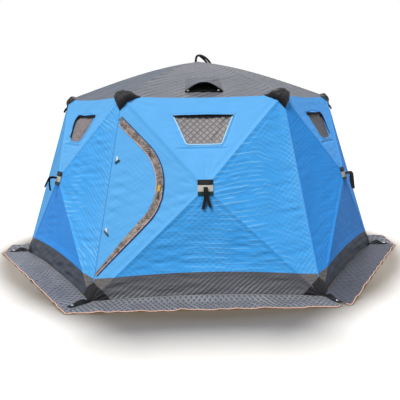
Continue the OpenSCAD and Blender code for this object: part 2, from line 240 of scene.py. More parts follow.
class Pile:
    """The vertices and faces of one piece, gathered patch by patch."""

    def __init__(self):
        self.v, self.uv, self.edge, self.f, self.m = [], [], [], [], []
        self.count, self.area = 0, 0.0

    def add(self, verts, uv, faces, mats, edge=None):
        self.f += [tuple(int(i) + self.count for i in f) for f in faces]
        self.m += mats
        self.v.append(np.asarray(verts, float).reshape(-1, 3))
        self.uv.append(np.asarray(uv, float).reshape(-1, 2))
        self.edge.append(np.ones(len(self.v[-1])) if edge is None else edge)
        self.count += len(self.v[-1])

    def shell(self, top, depth, uv, wrap=False, mats=(0, 1), flip=False, edge=None):
        """A closed piece of cloth: a fine outer grid, a coarser back and the edge between them."""
        n, m = top.shape[:2]
        fine = np.arange(n * m).reshape(n, m)
        rows, cols = np.arange(0, n, COARSE), np.arange(0, m, COARSE)
        back = n * m + np.arange(len(rows) * len(cols)).reshape(len(rows), len(cols))
        if wrap:
            fine, back = np.vstack([fine, fine[:1]]), np.vstack([back, back[:1]])

        def quads(g):
            return np.stack([g[:-1, :-1], g[1:, :-1], g[1:, 1:], g[:-1, 1:]], -1).reshape(-1, 4)

        def both(values, coarse, width):
            return np.concatenate([values.reshape(-1, width), coarse[rows][:, cols].reshape(-1, width)])

        sides = [(fine[:, 0], back[:, 0]), (fine[::-1, -1], back[::-1, -1])]
        if not wrap:
            sides += [(fine[-1], back[-1]), (fine[0, ::-1], back[0, ::-1])]
        rim = []
        half = COARSE // 2
        for f, c in sides:
            for q in range(len(c) - 1):
                s = f[q * COARSE:(q + 1) * COARSE + 1]
                rim += [(s[i + 1], s[i], c[q]) for i in range(half)]
                rim.append((s[half], c[q], c[q + 1]))
                rim += [(s[i + 1], s[i], c[q + 1]) for i in range(half, COARSE)]
        groups = [quads(fine), np.array(rim), quads(back)[:, ::-1]]
        looks = [look for look, group in zip((mats[0], mats[0], mats[1]), groups) for _ in group]
        faces = [f[::-1] if flip else f for group in groups for f in group]
        edge = np.ones((n, m)) if edge is None else edge
        self.add(both(top, top + depth, 3), both(uv, uv, 2), faces, looks, both(edge, edge, 1).ravel())
        a, b, c = top[:-1, :-1], top[1:, :-1], top[:-1, 1:]
        self.area += np.linalg.norm(np.cross(b - a, c - a), axis=-1).sum()

    def take(self, other, k):
        """Adds another pile, moved to wall k."""
        self.f += [tuple(i + self.count for i in f) for f in other.f]
        self.m += other.m
        self.v += [turn(v, k) for v in other.v]
        self.uv += other.uv
        self.edge += other.edge
        self.count += other.count
        self.area += other.area

    def make(self, name, looks, node=None, slot=None, body="shelter"):
        mesh = bpy.data.meshes.new(name)
        mesh.from_pydata(np.concatenate(self.v).tolist(), [], self.f)
        loops = np.zeros(len(mesh.loops), np.int32)
        mesh.loops.foreach_get("vertex_index", loops)
        uv = np.concatenate(self.uv)[loops].astype(np.float32)
        mesh.uv_layers.new(name="cloth").data.foreach_set("uv", uv.ravel())
        edge = np.concatenate(self.edge).astype(np.float32)
        mesh.attributes.new("edge", "FLOAT", "POINT").data.foreach_set("value", edge)
        mesh.polygons.foreach_set("material_index", np.array(self.m, np.int32))
        mesh.polygons.foreach_set("use_smooth", np.ones(len(self.f), bool))
        mesh.set_sharp_from_angle(angle=SHARP)
        for look in looks:
            mesh.materials.append(look)
        mesh.update()
        obj = bpy.data.objects.new(name, mesh)
        bpy.context.scene.collection.objects.link(obj)
        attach(obj, body)
        if node:
            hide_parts(node)
        return obj


def turned(build, walls=range(6)):
    """One pile of what build makes for each of the walls, moved there."""
    whole = Pile()
    for k in walls:
        whole.take(build(k), k)
    return whole


sheets = []


def sheet(pile, name, looks, node, slot, flat, held="stretched", body="shelter", area=None, hem=None):
    """A piece of cloth, and its hem's pile, name and looks, listed with its flat size and cut area."""
    piece = pile.make(name, looks, node, slot, body)
    hems = [hem[0].make(*hem[1:], slot=slot, body=body)] if hem else []
    sheets.append((piece, flat, pile.area if area is None else area, held, hems))


# Lines and what runs along them

def grid(n, m):
    """Two grids of shares, along the rows and along the columns."""
    return np.meshgrid(np.linspace(0, 1, n), np.linspace(0, 1, m), indexing="ij")


def run_of(points):
    """How far along a broken line each of its points lies."""
    return np.concatenate([[0], np.cumsum(np.linalg.norm(np.diff(points, axis=0), axis=1))])


def path(points, count):
    """Points at even steps along a broken line."""
    points = np.asarray(points, float)
    run = run_of(points)
    at = np.linspace(0, run[-1], count)
    return np.stack([np.interp(at, run, points[:, i]) for i in range(points.shape[1])], -1)


def curve(points, count):
    """Points at even steps along a smooth line through a few given ones."""
    p = np.asarray(points, float)
    ends = np.concatenate([[2 * p[0] - p[1]], p, [2 * p[-1] - p[-2]]])
    f = np.linspace(0, 1, 12, endpoint=False)[:, None]
    out = []
    for a, b, c, d in zip(ends, ends[1:], ends[2:], ends[3:]):
        square, cube = 2 * a - 5 * b + 4 * c - d, 3 * b - a - 3 * c + d
        out.append(0.5 * (2 * b + (c - a) * f + square * f ** 2 + cube * f ** 3))
    return path(np.concatenate(out + [p[-1:]]), count)


def beyond(p, q, length):
    """The point that lies a length from p towards q."""
    return p + unit(q - p) * length


def bend(a, p, b, reach, count):
    """An arc that rounds off the corner p between a and b."""
    f = np.linspace(0, 1, count)[:, None]
    return lerp(lerp(beyond(p, a, reach), p, f), lerp(p, beyond(p, b, reach), f), f)


def tube(pile, points, radius, sides=8, mat=0, closed=False):
    points = np.asarray(points, float)
    ahead = np.roll(points, -1, 0) - np.roll(points, 1, 0) if closed else np.gradient(points, axis=0)
    ahead = units(ahead)
    ref = np.where(np.abs(ahead[:, 2:]) > 0.9, [[1.0, 0, 0]], [[0, 0, 1.0]])
    u = units(np.cross(ahead, ref))
    w = np.cross(ahead, u)
    a = np.linspace(0, 2 * math.pi, sides, endpoint=False)
    around = np.cos(a)[None, :, None] * u[:, None] + np.sin(a)[None, :, None] * w[:, None]
    n = len(points)
    i, j = np.meshgrid(np.arange(n if closed else n - 1), np.arange(sides), indexing="ij")
    i2, j2 = (i + 1) % n, (j + 1) % sides
    faces = np.stack([i * sides + j, i * sides + j2, i2 * sides + j2, i2 * sides + j], -1).reshape(-1, 4).tolist()
    if not closed:
        faces += [range(sides)[::-1], range((n - 1) * sides, n * sides)]
    uv = np.stack([np.repeat(np.linspace(0, n / 4, n), sides), np.tile(a / 6.28, n)], -1)
    pile.add(points[:, None] + radius * around, uv, faces, [mat] * len(faces))


def ribbon(pile, points, across, width, thick, mat=0):
    """Flat webbing along a path; across is its width's direction."""
    points = np.asarray(points, float)
    across = np.broadcast_to(np.asarray(across, float), points.shape)
    normal = units(np.cross(across, np.gradient(points, axis=0)))
    half = units(across) * np.reshape(width, (-1, 1)) / 2
    section = [points - half - normal * thick / 2, points + half - normal * thick / 2,
               points + half + normal * thick / 2, points - half + normal * thick / 2]
    n = len(points)
    faces = [(4 * i + j, 4 * i + 4 + j, 4 * i + 4 + (j + 1) % 4, 4 * i + (j + 1) % 4)
             for i in range(n - 1) for j in range(4)]
    faces += [(0, 1, 2, 3), tuple(4 * (n - 1) + j for j in (3, 2, 1, 0))]
    uv = np.stack([np.repeat(run_of(points) / np.max(width), 4), np.tile([0, 1, 1, 0], n)], -1)
    pile.add(np.stack(section, 1), uv, faces, [mat] * len(faces))


def showing(points, axis, share):
    """Directions across a webbing that lies along the axis, turned so that it shows a share of its face."""
    face = units(np.cross(np.gradient(np.asarray(points, float), axis=0), axis))
    return share * face + math.sqrt(1 - share ** 2) * np.asarray(axis, float)


def across_line(panel, line):
    """Directions in a panel's plane, across a line on it."""
    run = np.gradient(line, axis=0)
    return run[:, :1] * panel.ey - run[:, 1:] * panel.ex


# Materials

class Nodes:
    """Short calls for the nodes of one shader tree."""

    def __init__(self, tree):
        self.tree = tree

    def feed(self, socket, value):
        """Links another node's output to a socket, or sets a number or a colour on it."""
        if isinstance(value, bpy.types.NodeSocket):
            self.tree.links.new(value, socket)
        else:
            socket.default_value = (*value, 1) if isinstance(value, tuple) else value

    def add(self, kind, inputs=(), out=0, **settings):
        """An output of a new node, with what goes into the node by socket."""
        node = self.tree.nodes.new("ShaderNode" + kind)
        for key, value in settings.items():
            setattr(node, key, value)
        for key, value in dict(inputs).items():
            self.feed(node.inputs[key], value)
        return node.outputs[out]

    def op(self, operation, *values):
        return self.add("Math", enumerate(values), operation=operation)

    def times(self, a, b):
        return self.op("MULTIPLY", a, b)

    def scaled(self, value, gain, offset):
        return self.op("MULTIPLY_ADD", value, gain, offset)

    def noise(self, vector, scale, detail=3.0):
        return self.add("TexNoise", {"Vector": vector, "Scale": scale, "Detail": detail}, "Fac")

    def mix(self, fac, a, b):
        return self.add("Mix", {0: fac, 6: a, 7: b}, 2, data_type="RGBA")


def new_material(name):
    m = bpy.data.materials.new(name)
    m.use_nodes = True
    return m, Nodes(m.node_tree), m.node_tree.nodes["Principled BSDF"]


def shades(colour, worn):
    """A darker and a lighter tint of a colour."""
    return tuple(c * (1 - worn) for c in colour), tuple(min(1.0, c * (1 + worn)) for c in colour)


def dress(kit, shader, base, height, distance, numbers):
    """Gives a shader its colour, its bumps and its plain numbers."""
    kit.feed(shader.inputs["Base Color"], base)
    kit.feed(shader.inputs["Normal"], kit.add("Bump", {"Height": height, "Distance": distance, "Strength": 1.0}))
    for key, value in numbers.items():
        shader.inputs[key].default_value = value


WEAVE_H, FAINT = 0.0001, 0.12                # height of the weave, and what is left of a stitch line that fades out
ACROSS, UPWARD = QUILT * 0.78, QUILT * 0.65  # metres for one stitch line, level and upright
WAVE_W, WAVE_H = 0.15, 0.036                 # size of the short waves in slack cloth
STROKE_PITCH, STROKE_H = 0.040, 0.0016       # creases, whose crests get a painted highlight
TUCK_PITCH, TUCK_REACH = 0.044, 0.12         # puckers beside a corner's seam


def cloth_material(name, colour, quilt=0.0, stitch=0.0, thread=None, thin=6.0, cross=1.0, ripple=0.0, crest_highlight=0.0,
                   pucker=0.0, worn=0.10, contrast=1.0, patches=2.2, rough=0.62, threads=34.0, gloss=0.15, even=0.4,
                   wander=0.20, fades=False, lines_near=0.0):
    """Woven cloth. Its UV counts the quilting's stitch lines; edge tells how near a corner's seam is."""
    material, kit, shader = new_material(name)
    op, times, scaled, mix = kit.op, kit.times, kit.scaled, kit.mix
    u = kit.add("SeparateXYZ", {0: kit.add("UVMap", uv_map="cloth")})
    v = u.node.outputs[1]
    place = kit.add("TexCoord", out="Object")
    far = kit.add("Attribute", out="Fac", attribute_name="edge")

    def noise(scale, detail=3.0):
        return kit.noise(place, scale, detail)

    def line(value, sharp):
        """1 where the value is 0, falling to nothing on both sides."""
        return op("MAXIMUM", op("ADD", times(op("ABSOLUTE", value), -sharp), 1.0), 0.0)

    def comb(value, pitch, sharp):
        """Lines a pitch apart."""
        return line(op("PINGPONG", times(value, 1 / pitch), 0.5), sharp)

    def between(value, gain, offset, low=0.0):
        """The value times gain plus offset, held between low and 1."""
        return op("MINIMUM", op("MAXIMUM", scaled(value, gain, offset), low), 1.0)

    weave = [op("SINE", times(x, 2 * math.pi * threads)) for x in (u, v)]
    height = times(times(*weave), WEAVE_H)
    patch = noise(patches, 4.0)
    blend = scaled(noise(60.0, 2.0), 0.35, times(patch, 0.65))
    if contrast > 1:
        blend = between(blend, contrast, 0.5 - contrast / 2)
    base = mix(blend, *shades(colour, worn))
    thread = thread or tuple(c * 0.35 for c in colour)
    tall = times(op("ADD", u, v), UPWARD)
    if quilt > 0:
        slack = [between(noise(scale, 1.0), 4.0, -1.5, even) for scale in (2.8, 3.9)]
        if fades:
            slack = [times(x, between(far, -1.0, 1.15, FAINT)) for x in slack]
        elif lines_near > 0:
            low = op("MAXIMUM", op("EXPONENT", times(far, -1 / lines_near)), FAINT)
            slack = [times(x, low) for x in slack]
        astray = scaled(noise(9.0), wander, -wander / 2)
        near = [op("PINGPONG", op("ADD", x, astray), 0.5) for x in (u, v)]
        hill = op("SQRT", times(near[1], near[0] if cross == 1 else 0.35))
        height = scaled(times(hill, slack[0]), 2 * quilt, height)
        seam = times(line(near[1], thin), slack[0])
        if cross > 0:
            seam = op("MAXIMUM", seam, times(times(line(near[0], thin), slack[1]), cross))
        base = mix(times(seam, stitch), base, thread)
    if ripple > 0:
        pull = op("MAXIMUM", op("SUBTRACT", 0.30, far), 0.0)
        level = scaled(pull, 0.55, tall)
        wide = times(op("SUBTRACT", u, v), ACROSS)
        spot = kit.add("CombineXYZ", {0: times(wide, 1 / WAVE_W), 1: times(level, 1 / WAVE_H)})
        wave = kit.noise(spot, 1.0, 1.0)
        height = scaled(wave, 2 * ripple, height)
        if crest_highlight > 0:
            bent = scaled(noise(3.4, 2.0), 0.060, level)
            crest = times(comb(bent, STROKE_PITCH, 3.8), between(wave, 5.0, -1.9))
            crest = times(crest, between(noise(2.1, 1.0), 4.0, -1.4, 0.25))
            height = scaled(crest, STROKE_H, height)
            # Painted highlight: the creases' crests are painted in the thread's paler colour
            base = mix(times(crest, crest_highlight), base, thread)
    if pucker > 0:
        fade = op("EXPONENT", times(far, -1 / TUCK_REACH))
        fade = between(times(fade, scaled(patch, 3.0, -0.8)), 1.0, 0.0)
        for lean in (0.9, -0.9):
            run = scaled(patch, 0.06, scaled(far, lean, tall))
            tuck = times(comb(run, TUCK_PITCH, 5.0), fade)
            height = scaled(tuck, pucker, height)
            # Painted highlight: the puckers' tucks are painted in the thread's paler colour
            base = mix(times(tuck, 0.65), base, thread)
    dress(kit, shader, base, height, 1.0, {"Roughness": rough, "Specular IOR Level": gloss})
    return material


def plain_material(name, colour, rough=0.5, metallic=0.0, grain=120.0):
    material, kit, shader = new_material(name)
    fac = kit.noise(kit.add("TexCoord", out="Object"), grain)
    base = kit.mix(fac, *shades(colour, 0.08))
    dress(kit, shader, base, fac, 0.0002, {"Roughness": rough, "Metallic": metallic})
    return material


# PALE_BLUE is the walls' thread colour, and also the colour of their painted highlights on crests and puckers
BLUE, PALE_BLUE = (0.052, 0.372, 0.880), (0.24, 0.62, 1.0)
WALL = dict(quilt=0.0012, stitch=0.42, thread=PALE_BLUE, thin=4.6, ripple=0.0020, crest_highlight=0.78, pucker=0.0016,
            worn=0.06, even=0.12, lines_near=0.42)
LEFT_WALL = dict(WALL, stitch=0.60, cross=0.35, even=0.3)
LOW_WALL = dict(WALL, stitch=0.28, crest_highlight=0.40, even=0.05, lines_near=0.0)
blue = cloth_material("wall_cloth", BLUE, **WALL)
# Painted light: a lighter copy of the wall cloth for the front left wall's panel next to the front
lit_left_cloth = cloth_material("left_wall_cloth", (0.066, 0.400, 0.925), **LEFT_WALL)
blue_low = cloth_material("lower_wall_cloth", BLUE, **LOW_WALL)
QUIET = dict(quilt=0.0008, stitch=0.10, thread=PALE_BLUE, ripple=0.0006, crest_highlight=0.10, worn=0.06, even=0.15)
# Painted shade: a darker, deeper blue copy of the wall cloth for the front right wall's right and lower panels and the
# front left wall's lower panel
shaded_side_cloth = cloth_material("side_wall_cloth", (0.036, 0.310, 0.915), **QUIET)
# Painted shade: a deeper blue copy of the wall cloth for the front right wall's panel next to the front
shaded_right_cloth = cloth_material("right_wall_cloth", (0.040, 0.350, 1.0), **QUIET)
# Painted shade: a darker copy of the wall cloth for the front left wall's far panel
shaded_far_cloth = cloth_material("far_wall_cloth", (0.070, 0.370, 0.800), **QUIET)
TAUT = dict(quilt=0.0009, ripple=0.0005, worn=0.05, even=0.1, gloss=0.3)
# Painted light: the upper panels' cloth is a lighter, whiter copy of the wall cloth that stands in for their lit sheen
lit_upper_cloth = cloth_material("upper_cloth", (0.108, 0.430, 0.870), **TAUT)
# Painted shade: a darker copy of the upper cloth for the front right wall's upper panel
shaded_right_upper_cloth = cloth_material("right_upper_cloth", (0.074, 0.395, 0.950), **TAUT)
# Painted light: a lighter copy of the wall cloth for the door and the cloth round it
lit_door_cloth = cloth_material("door_cloth", (0.101, 0.425, 0.860), **dict(TAUT, quilt=0.0008, ripple=0.0008))
# Painted highlight: the front window's hem is a pale blue that stands for the light on its rolled lip
hem_highlight_blue = cloth_material("window_hem", (0.42, 0.74, 1.0), worn=0.05, gloss=0.3)
lining = cloth_material("lining", (0.10, 0.11, 0.13), quilt=0.001)

ROOF = dict(quilt=0.0090, stitch=0.85, thin=4.0, ripple=0.0014, worn=0.14, even=0.25, cross=0.4)
roof_grey = cloth_material("roof_cloth", (0.112, 0.119, 0.148), thread=(0.28, 0.27, 0.27), **ROOF)
# Painted shade: a darker, bluer copy of the roof cloth for the front left gore
shaded_left_roof_cloth = cloth_material("left_roof_cloth", (0.088, 0.106, 0.140), thread=(0.165, 0.175, 0.200), **ROOF)
hood_grey = cloth_material("hood_cloth", (0.114, 0.120, 0.146), quilt=0.0050, stitch=0.4, worn=0.12, even=1.0)
band_grey = cloth_material("band_cloth", (0.100, 0.104, 0.120), quilt=0.0060, stitch=1.0, thread=(0.48, 0.48, 0.50),
                           thin=4.6, ripple=0.003, worn=0.16, even=0.42, cross=0.0, wander=0.5, fades=True)
band_dark = cloth_material("side_band_cloth", (0.066, 0.077, 0.104), quilt=0.0016, stitch=0.1, ripple=0.003,
                           worn=0.12, even=0.3)
band_corner = cloth_material("corner_band_cloth", (0.148, 0.139, 0.141), quilt=0.0016, ripple=0.004, crest_highlight=0.4,
                             thread=(0.34, 0.32, 0.30), worn=0.25, even=0.3)
LAID = dict(quilt=0.0085, thread=(0.36, 0.37, 0.41), worn=0.20, even=0.6)
skirt_grey = cloth_material("skirt_cloth", (0.118, 0.124, 0.150), stitch=0.65, thin=3.6, **LAID)
skirt_front = cloth_material("front_skirt_cloth", (0.112, 0.116, 0.140), stitch=0.90, thin=3.0, cross=0.75,
                             **dict(LAID, thread=(0.43, 0.44, 0.47)))
skirt_left = cloth_material("left_skirt_cloth", (0.098, 0.108, 0.140), stitch=0.85, thin=2.8, **LAID)
# Painted shadow: the front right skirt is a darker copy of the skirt cloth that stands in for the hut's shadow on it
shaded_right_skirt_cloth = cloth_material("right_skirt_cloth", (0.068, 0.074, 0.098), stitch=0.16, thin=3.6, **LAID)

# Painted shade: the right window's cover is a darker copy of the window cloth
shaded_right_window_cloth = cloth_material("right_window_cloth", (0.120, 0.116, 0.135), quilt=0.0040, stitch=0.4, worn=0.4, even=0.9,
                       contrast=2.0, patches=30.0)
# Painted shade: the left window's cover is a darker copy of the window cloth
shaded_left_window_cloth = cloth_material("left_window_cloth", (0.270, 0.235, 0.245), quilt=0.0040, stitch=0.5, worn=0.45, even=0.9,
                      contrast=2.2, patches=34.0)
taupe = cloth_material("window_cloth", (0.340, 0.320, 0.330), quilt=0.0090, stitch=0.92, worn=0.28, even=0.95)
flap_taupe = cloth_material("flap_cloth", (0.320, 0.270, 0.245), quilt=0.0060, stitch=0.6, worn=0.80, even=0.7,
                            contrast=3.2, patches=20.0)
cap_black = cloth_material("cap_cloth", (0.0135, 0.0130, 0.0160), worn=0.3, rough=0.5, gloss=0.2)
web_black = cloth_material("webbing", (0.010, 0.010, 0.011), worn=0.2, rough=0.6, threads=7.0)
# Painted shadow: a black strip stands for the shadow along a window's upper edge
shadow_strip_black = cloth_material("window_shadow_strip", (0.006, 0.007, 0.010), worn=0.2, rough=0.8, gloss=0.05)
# Painted shadow: the navy zip tape beside the storm flap stands for the flap's shadow on the door
zip_shadow_navy = cloth_material("zip_shadow_tape", (0.012, 0.040, 0.150), worn=0.2)
pale = cloth_material("patch_cloth", (0.52, 0.50, 0.46), worn=0.12)
dark_patch = cloth_material("patch_edge", (0.014, 0.035, 0.032), worn=0.2)
salmon = cloth_material("piping", (0.86, 0.52, 0.41), worn=0.15)

bead_blue = plain_material("seam_bead", (0.068, 0.36, 0.83), 0.6, grain=60)
net = plain_material("mesh", (0.010, 0.010, 0.011), 0.9, grain=900)
pole = plain_material("pole", (0.05, 0.05, 0.055), 0.4)
plastic = plain_material("hub_plastic", (0.025, 0.025, 0.027), 0.45)
yellow = plain_material("zip_pull", (0.58, 0.39, 0.05), 0.4)
ivory = plain_material("toggle", (0.75, 0.74, 0.70), 0.45)
steel = plain_material("eyelet", (0.62, 0.62, 0.64), 0.28, metallic=1.0)


# The cover

def band_top(x):
    return BAND_H + BAND_RISE - BAND_ARC + np.sqrt(BAND_ARC ** 2 - x * x)


def foot_z(x):
    return FOOT_RISE - FOOT_ARC + np.sqrt(FOOT_ARC ** 2 - x * x)


def on_lower(x, z):
    """The point of a wall's lower panel with a given place across and height."""
    return np.stack([x, -BASE_AP + (BASE_AP - HUB_R) * z / HUB_H, z], -1)


def where_band_ends(p, q):
    """The point between p and q on the band's upper edge."""
    lo, hi = 0.0, 1.0
    for _ in range(40):
        t = (lo + hi) / 2
        at = lerp(p, q, t)
        lo, hi = (t, hi) if at[2] < band_top(at[0]) else (lo, t)
    return lerp(p, q, lo)


BAND_CORNER = where_band_ends(FOOT, TOP)
BAND_SEAM = where_band_ends(FOOT, HUB)


def lay(pile, panel, xy, seed, wrap=False, extra=0.0, mats=(0, 1), mirror=False, flip=True, pitch=QUILT, edge=None,
        fade=1.0, **kind):
    """Cloth on a panel's grid points, with its relief."""
    high = relief(panel, xy, seed, pitch=pitch, **kind) * fade + extra
    top, out = raised(panel, xy, high)
    depth = -out * (CLOTH_T + high - lowest_near(high, wrap))[..., None]
    top[..., 2] = np.maximum(top[..., 2], GROUND_CLEAR)
    if mirror:
        top, depth = top * FLIP, depth * FLIP
    if panel is side and edge is None:
        edge = panel.edge_distance(xy)[..., 2]
    pile.shell(top, depth, quilt_uv(xy, pitch) + seed, wrap, mats, flip != mirror, edge)


def facing(panel, tip_share, counts, hole, rows, bias=1.0):
    """Grid between a four-sided hole and the panel's edge, and how far each point is from the hole. The panel's third
    corner and a share of the two edges beside it face the hole's third side."""
    a, b, c = panel.tri
    q_b, q_a = lerp(b, c, tip_share), lerp(a, c, tip_share)
    outside = [[a, b], [b, q_b], [q_b, c, q_a], [q_a, a]]
    inner = np.concatenate([path([hole[i], hole[(i + 1) % 4]], n + 1)[:-1] for i, n in enumerate(counts)])
    outer = np.concatenate([path(run, n + 1)[:-1] for run, n in zip(outside, counts)])
    t = np.linspace(0, 1, rows)[None, :, None] ** bias
    return lerp(inner[:, None], outer[:, None], t), np.linalg.norm(outer - inner, axis=-1)[:, None] * t[..., 0]


WINDOW = np.array([[-WIN_TOP / 2, -WIN_DROP], [WIN_TOP / 2, -WIN_DROP],
                   [WIN_LOW / 2, -WIN_DROP - WIN_H], [-WIN_LOW / 2, -WIN_DROP - WIN_H]])
# The wall looks: the wall cloth and its lining, then its copies with painted light and painted shade, and the lower
# panels' cloth
WALL_LOOKS = [blue, lining, lit_upper_cloth, shaded_side_cloth, shaded_far_cloth, shaded_right_cloth, shaded_right_upper_cloth, lit_left_cloth, blue_low]
SMOOTH = (3, 4, 5)                              # the looks with small folds
WALL_MATS = {1: (6, 3, 5, 3), 5: (2, 7, 4, 3)}  # upper, right, left and lower panel
PLAIN_MATS = (2, 0, 0, 8)
CREASE_DROP = 0.040                             # from the window down to the crease below it


def upper_cloth(pile, seed, mat):
    xy, away = facing(upper, 0.72, (96, 72, 56, 72), WINDOW, 33, 1.7)
    hem = ridge(away, 0.0030, 0.008, 0.014) + ridge(away, -0.0040, 0.007, 0.030)
    sweep = smooth((0.235 - np.abs(xy[..., 0] + 0.02)) / 0.05)
    drop = xy[..., 1] + (WIN_DROP + WIN_H + CREASE_DROP) + 0.02 * xy[..., 0] ** 2
    crease = sweep * (ridge(drop, 0.0045, 0.010, 0.012) + ridge(drop, -0.0065, 0.008))
    lay(pile, upper, xy, seed, wrap=True, extra=hem + crease, mats=(mat, 1), **UPPER_FOLDS)


def side_cloth(pile, seed, mirror, mat):
    t, s = grid(113, 65)
    start, end = (side.flat(lerp(p, q, s[0][:, None])) for p, q in ((BAND_CORNER, BAND_SEAM), (TOP, HUB)))
    lay(pile, side, lerp(start[None], end[None], t[..., None]), seed, mirror=mirror, mats=(mat, 1),
        folds=0.0009 if mat in SMOOTH else 0.0022, fade=lerp(0.08, 1, smooth(t / 0.06)))


def lower_cloth(pile, seed, mat):
    t, s = grid(65, 113)
    x = lerp(BAND_SEAM[0], -BAND_SEAM[0], s[0])
    base = lower.flat(on_lower(x, band_top(x)))
    lay(pile, lower, lerp(base[None], lower.flat(HUB)[None, None], t[..., None] * 0.997), seed, mats=(mat, 1),
        folds=0.0008 if mat in SMOOTH else 0.0020, fade=lerp(0.08, 1, smooth(t / 0.10)))


def wall_cloth(k):
    """A wall's cover. The door takes the place of the front wall's left panel."""
    cover = Pile()
    top_mat, right_mat, left_mat, low_mat = WALL_MATS.get(k, PLAIN_MATS)
    upper_cloth(cover, UPPER_SEED + SEED_STEP * k, top_mat)
    side_cloth(cover, RIGHT_SEED + SEED_STEP * k, True, right_mat)
    if k:
        side_cloth(cover, LEFT_SEED + SEED_STEP * k, False, left_mat)
    lower_cloth(cover, LOWER_SEED + SEED_STEP * k, low_mat)
    return cover


def band_cloth(k):
    def fade(t):
        return 1 - 0.92 * smooth((t - 0.75) / 0.25)

    band = Pile()
    t, s = grid(17, 161)
    x = lerp(lerp(FOOT[0], -FOOT[0], s), lerp(BAND_SEAM[0], -BAND_SEAM[0], s), t)
    xy = lower.flat(on_lower(x, lerp(foot_z(x), band_top(x), t)))
    lay(band, lower, xy, BAND_SEED + SEED_STEP * k, quilt=0.0012, star=0.009, fade=fade(t),
        edge=np.maximum(t, smooth((np.abs(2 * s - 1) - 0.72) / 0.2)), **BAND_FOLDS)
    t, s = grid(17, 17)
    start, end = side.flat(FOOT + 0.002 * SEAM_DIR), side.flat(lerp(BAND_CORNER, BAND_SEAM, s[0][:, None]))
    xy = lerp(start[None, None], end[None], lerp(0.02, 1, t)[..., None])
    for mirror in (False, True):
        lay(band, side, xy, CORNER_SEED + SEED_STEP * k + mirror, mirror=mirror, star=0.012, fade=fade(t),
            edge=np.ones_like(t), mats=(2, 1), **BAND_FOLDS)
    return band


for k, wall in enumerate(WALLS):
    sheet(turned(wall_cloth, [k]), wall + "_wall_cloth", WALL_LOOKS, wall + "_wall", "wall_cloth", (1.95, 1.75))
    band_looks = [band_grey if k in (0, 3) else band_dark, lining, band_corner]
    sheet(turned(band_cloth, [k]), wall + "_band_cloth", band_looks, wall + "_band", "band_cloth", (1.95, 0.26))


# The door and the cloth round it, on the front wall's left side

def door_reach(g):
    """The door's radius, moved out by g, and how far below and above its middle its tips are."""
    r = DOOR_R + g
    return r, (DOOR_MID - DOOR_LOW) * r / DOOR_R, (DOOR_HIGH - DOOR_MID) * r / DOOR_R


def door_edge(g, count):
    """The door's outline from its lower tip to its upper one, moved out by g."""
    r, low, high = door_reach(g)
    a = np.linspace(-math.asin(r / low), math.asin(r / high), 200)
    arc = np.stack([r * np.cos(a), DOOR_MID + r * np.sin(a)], -1)
    return path(np.concatenate([[[0, DOOR_MID - low]], arc, [[0, DOOR_MID + high]]]), count)


def on_side(xy, h):
    """Points above the cloth of the door's side."""
    return raised(side, xy, relief(side, xy, LEFT_SEED, **DOOR_FOLDS) + h)[0]


surround = Pile()
corners = [side.flat(p) for p in (BAND_CORNER, BAND_SEAM, HUB, TOP)]
outer = np.concatenate([path(corners[:2], 21)[:-1], path(corners[1:3], 81)[:-1], path(corners[2:], 81)])
xy = lerp(door_edge(0.0, 181)[:, None], outer[:, None], np.linspace(0, 1, 21)[None, :, None])
lay(surround, side, xy, LEFT_SEED, **DOOR_FOLDS)
sheet(surround, "door_side_cloth", [lit_door_cloth, lining], "door_side_panel", "wall_cloth", (0.25, 1.75))

door = Pile()
t, s = grid(141, 37)
_, low, high = door_reach(-DOOR_GAP)
v = lerp(DOOR_MID - low + 0.012, DOOR_MID + high - 0.010, t)
free_edge = door_edge(-DOOR_GAP, 1200)
xy = np.stack([lerp(HINGE_U, np.interp(v, free_edge[:, 1], free_edge[:, 0]), s), v], -1)
lay(door, side, xy, LEFT_SEED, **DOOR_FOLDS)
sheet(door, "door_cloth", [lit_door_cloth, lining], "door_panel", "wall_cloth", (0.46, 1.37), body="door")

# Storm flap over the door's zip: it starts narrow at the lower tip
FLAP_IN, FLAP_OUT, FLAP_LIFT, FLAP_T, FLAP_L, FLAP_QUILT = -0.034, 0.026, 0.0065, 0.0035, 1.75, 0.022
TIP_IN, TIP_OUT, FLAP_STEPS = -0.016, 0.004, 241
PIPING_R, SHADOW_TAPE_OFF, SHADOW_TAPE_LIFT, SHADOW_TAPE_NARROW, SHADOW_TAPE_WIDE = 0.0032, 0.007, 0.0055, 0.007, 0.014
t = np.linspace(0, 1, FLAP_STEPS)
rim_in = lerp(door_edge(TIP_IN, FLAP_STEPS), door_edge(FLAP_IN, FLAP_STEPS), smooth(t / 0.25)[:, None])
rim_out = lerp(door_edge(TIP_OUT, FLAP_STEPS), door_edge(FLAP_OUT, FLAP_STEPS), smooth(t / 0.45)[:, None])
keep = np.flatnonzero((rim_out[:, 0] > 0.014) & ((rim_in[:, 0] > 0.004) | (t > 0.5)))
keep = keep[:len(keep) - (len(keep) - 1) % COARSE]
rim_in[:, 0] = np.maximum(rim_in[:, 0], 0.010)
rim_in, rim_out = rim_in[keep], rim_out[keep]
s = np.linspace(0, 1, 13)
xy = lerp(rim_in[:, None], rim_out[:, None], s[None, :, None])
puff = 0.0045 * np.sin(math.pi * s)[None] ** 0.6
run = np.linspace(0, FLAP_L, len(keep))[:, None]
pucker = 0.0024 * ripples(np.stack([run + 0 * s, 0 * run + s * 0.05], -1), FLAP_SEED, 0.050, math.pi / 2, 0.7)
uv = np.stack([(run + 0.06 * s) / FLAP_QUILT, (run - 0.06 * s) / FLAP_QUILT], -1)
flap = Pile()
flap.shell(on_side(xy, FLAP_LIFT + puff + pucker), -outward(side.at(xy)) * FLAP_T, uv, flip=True)

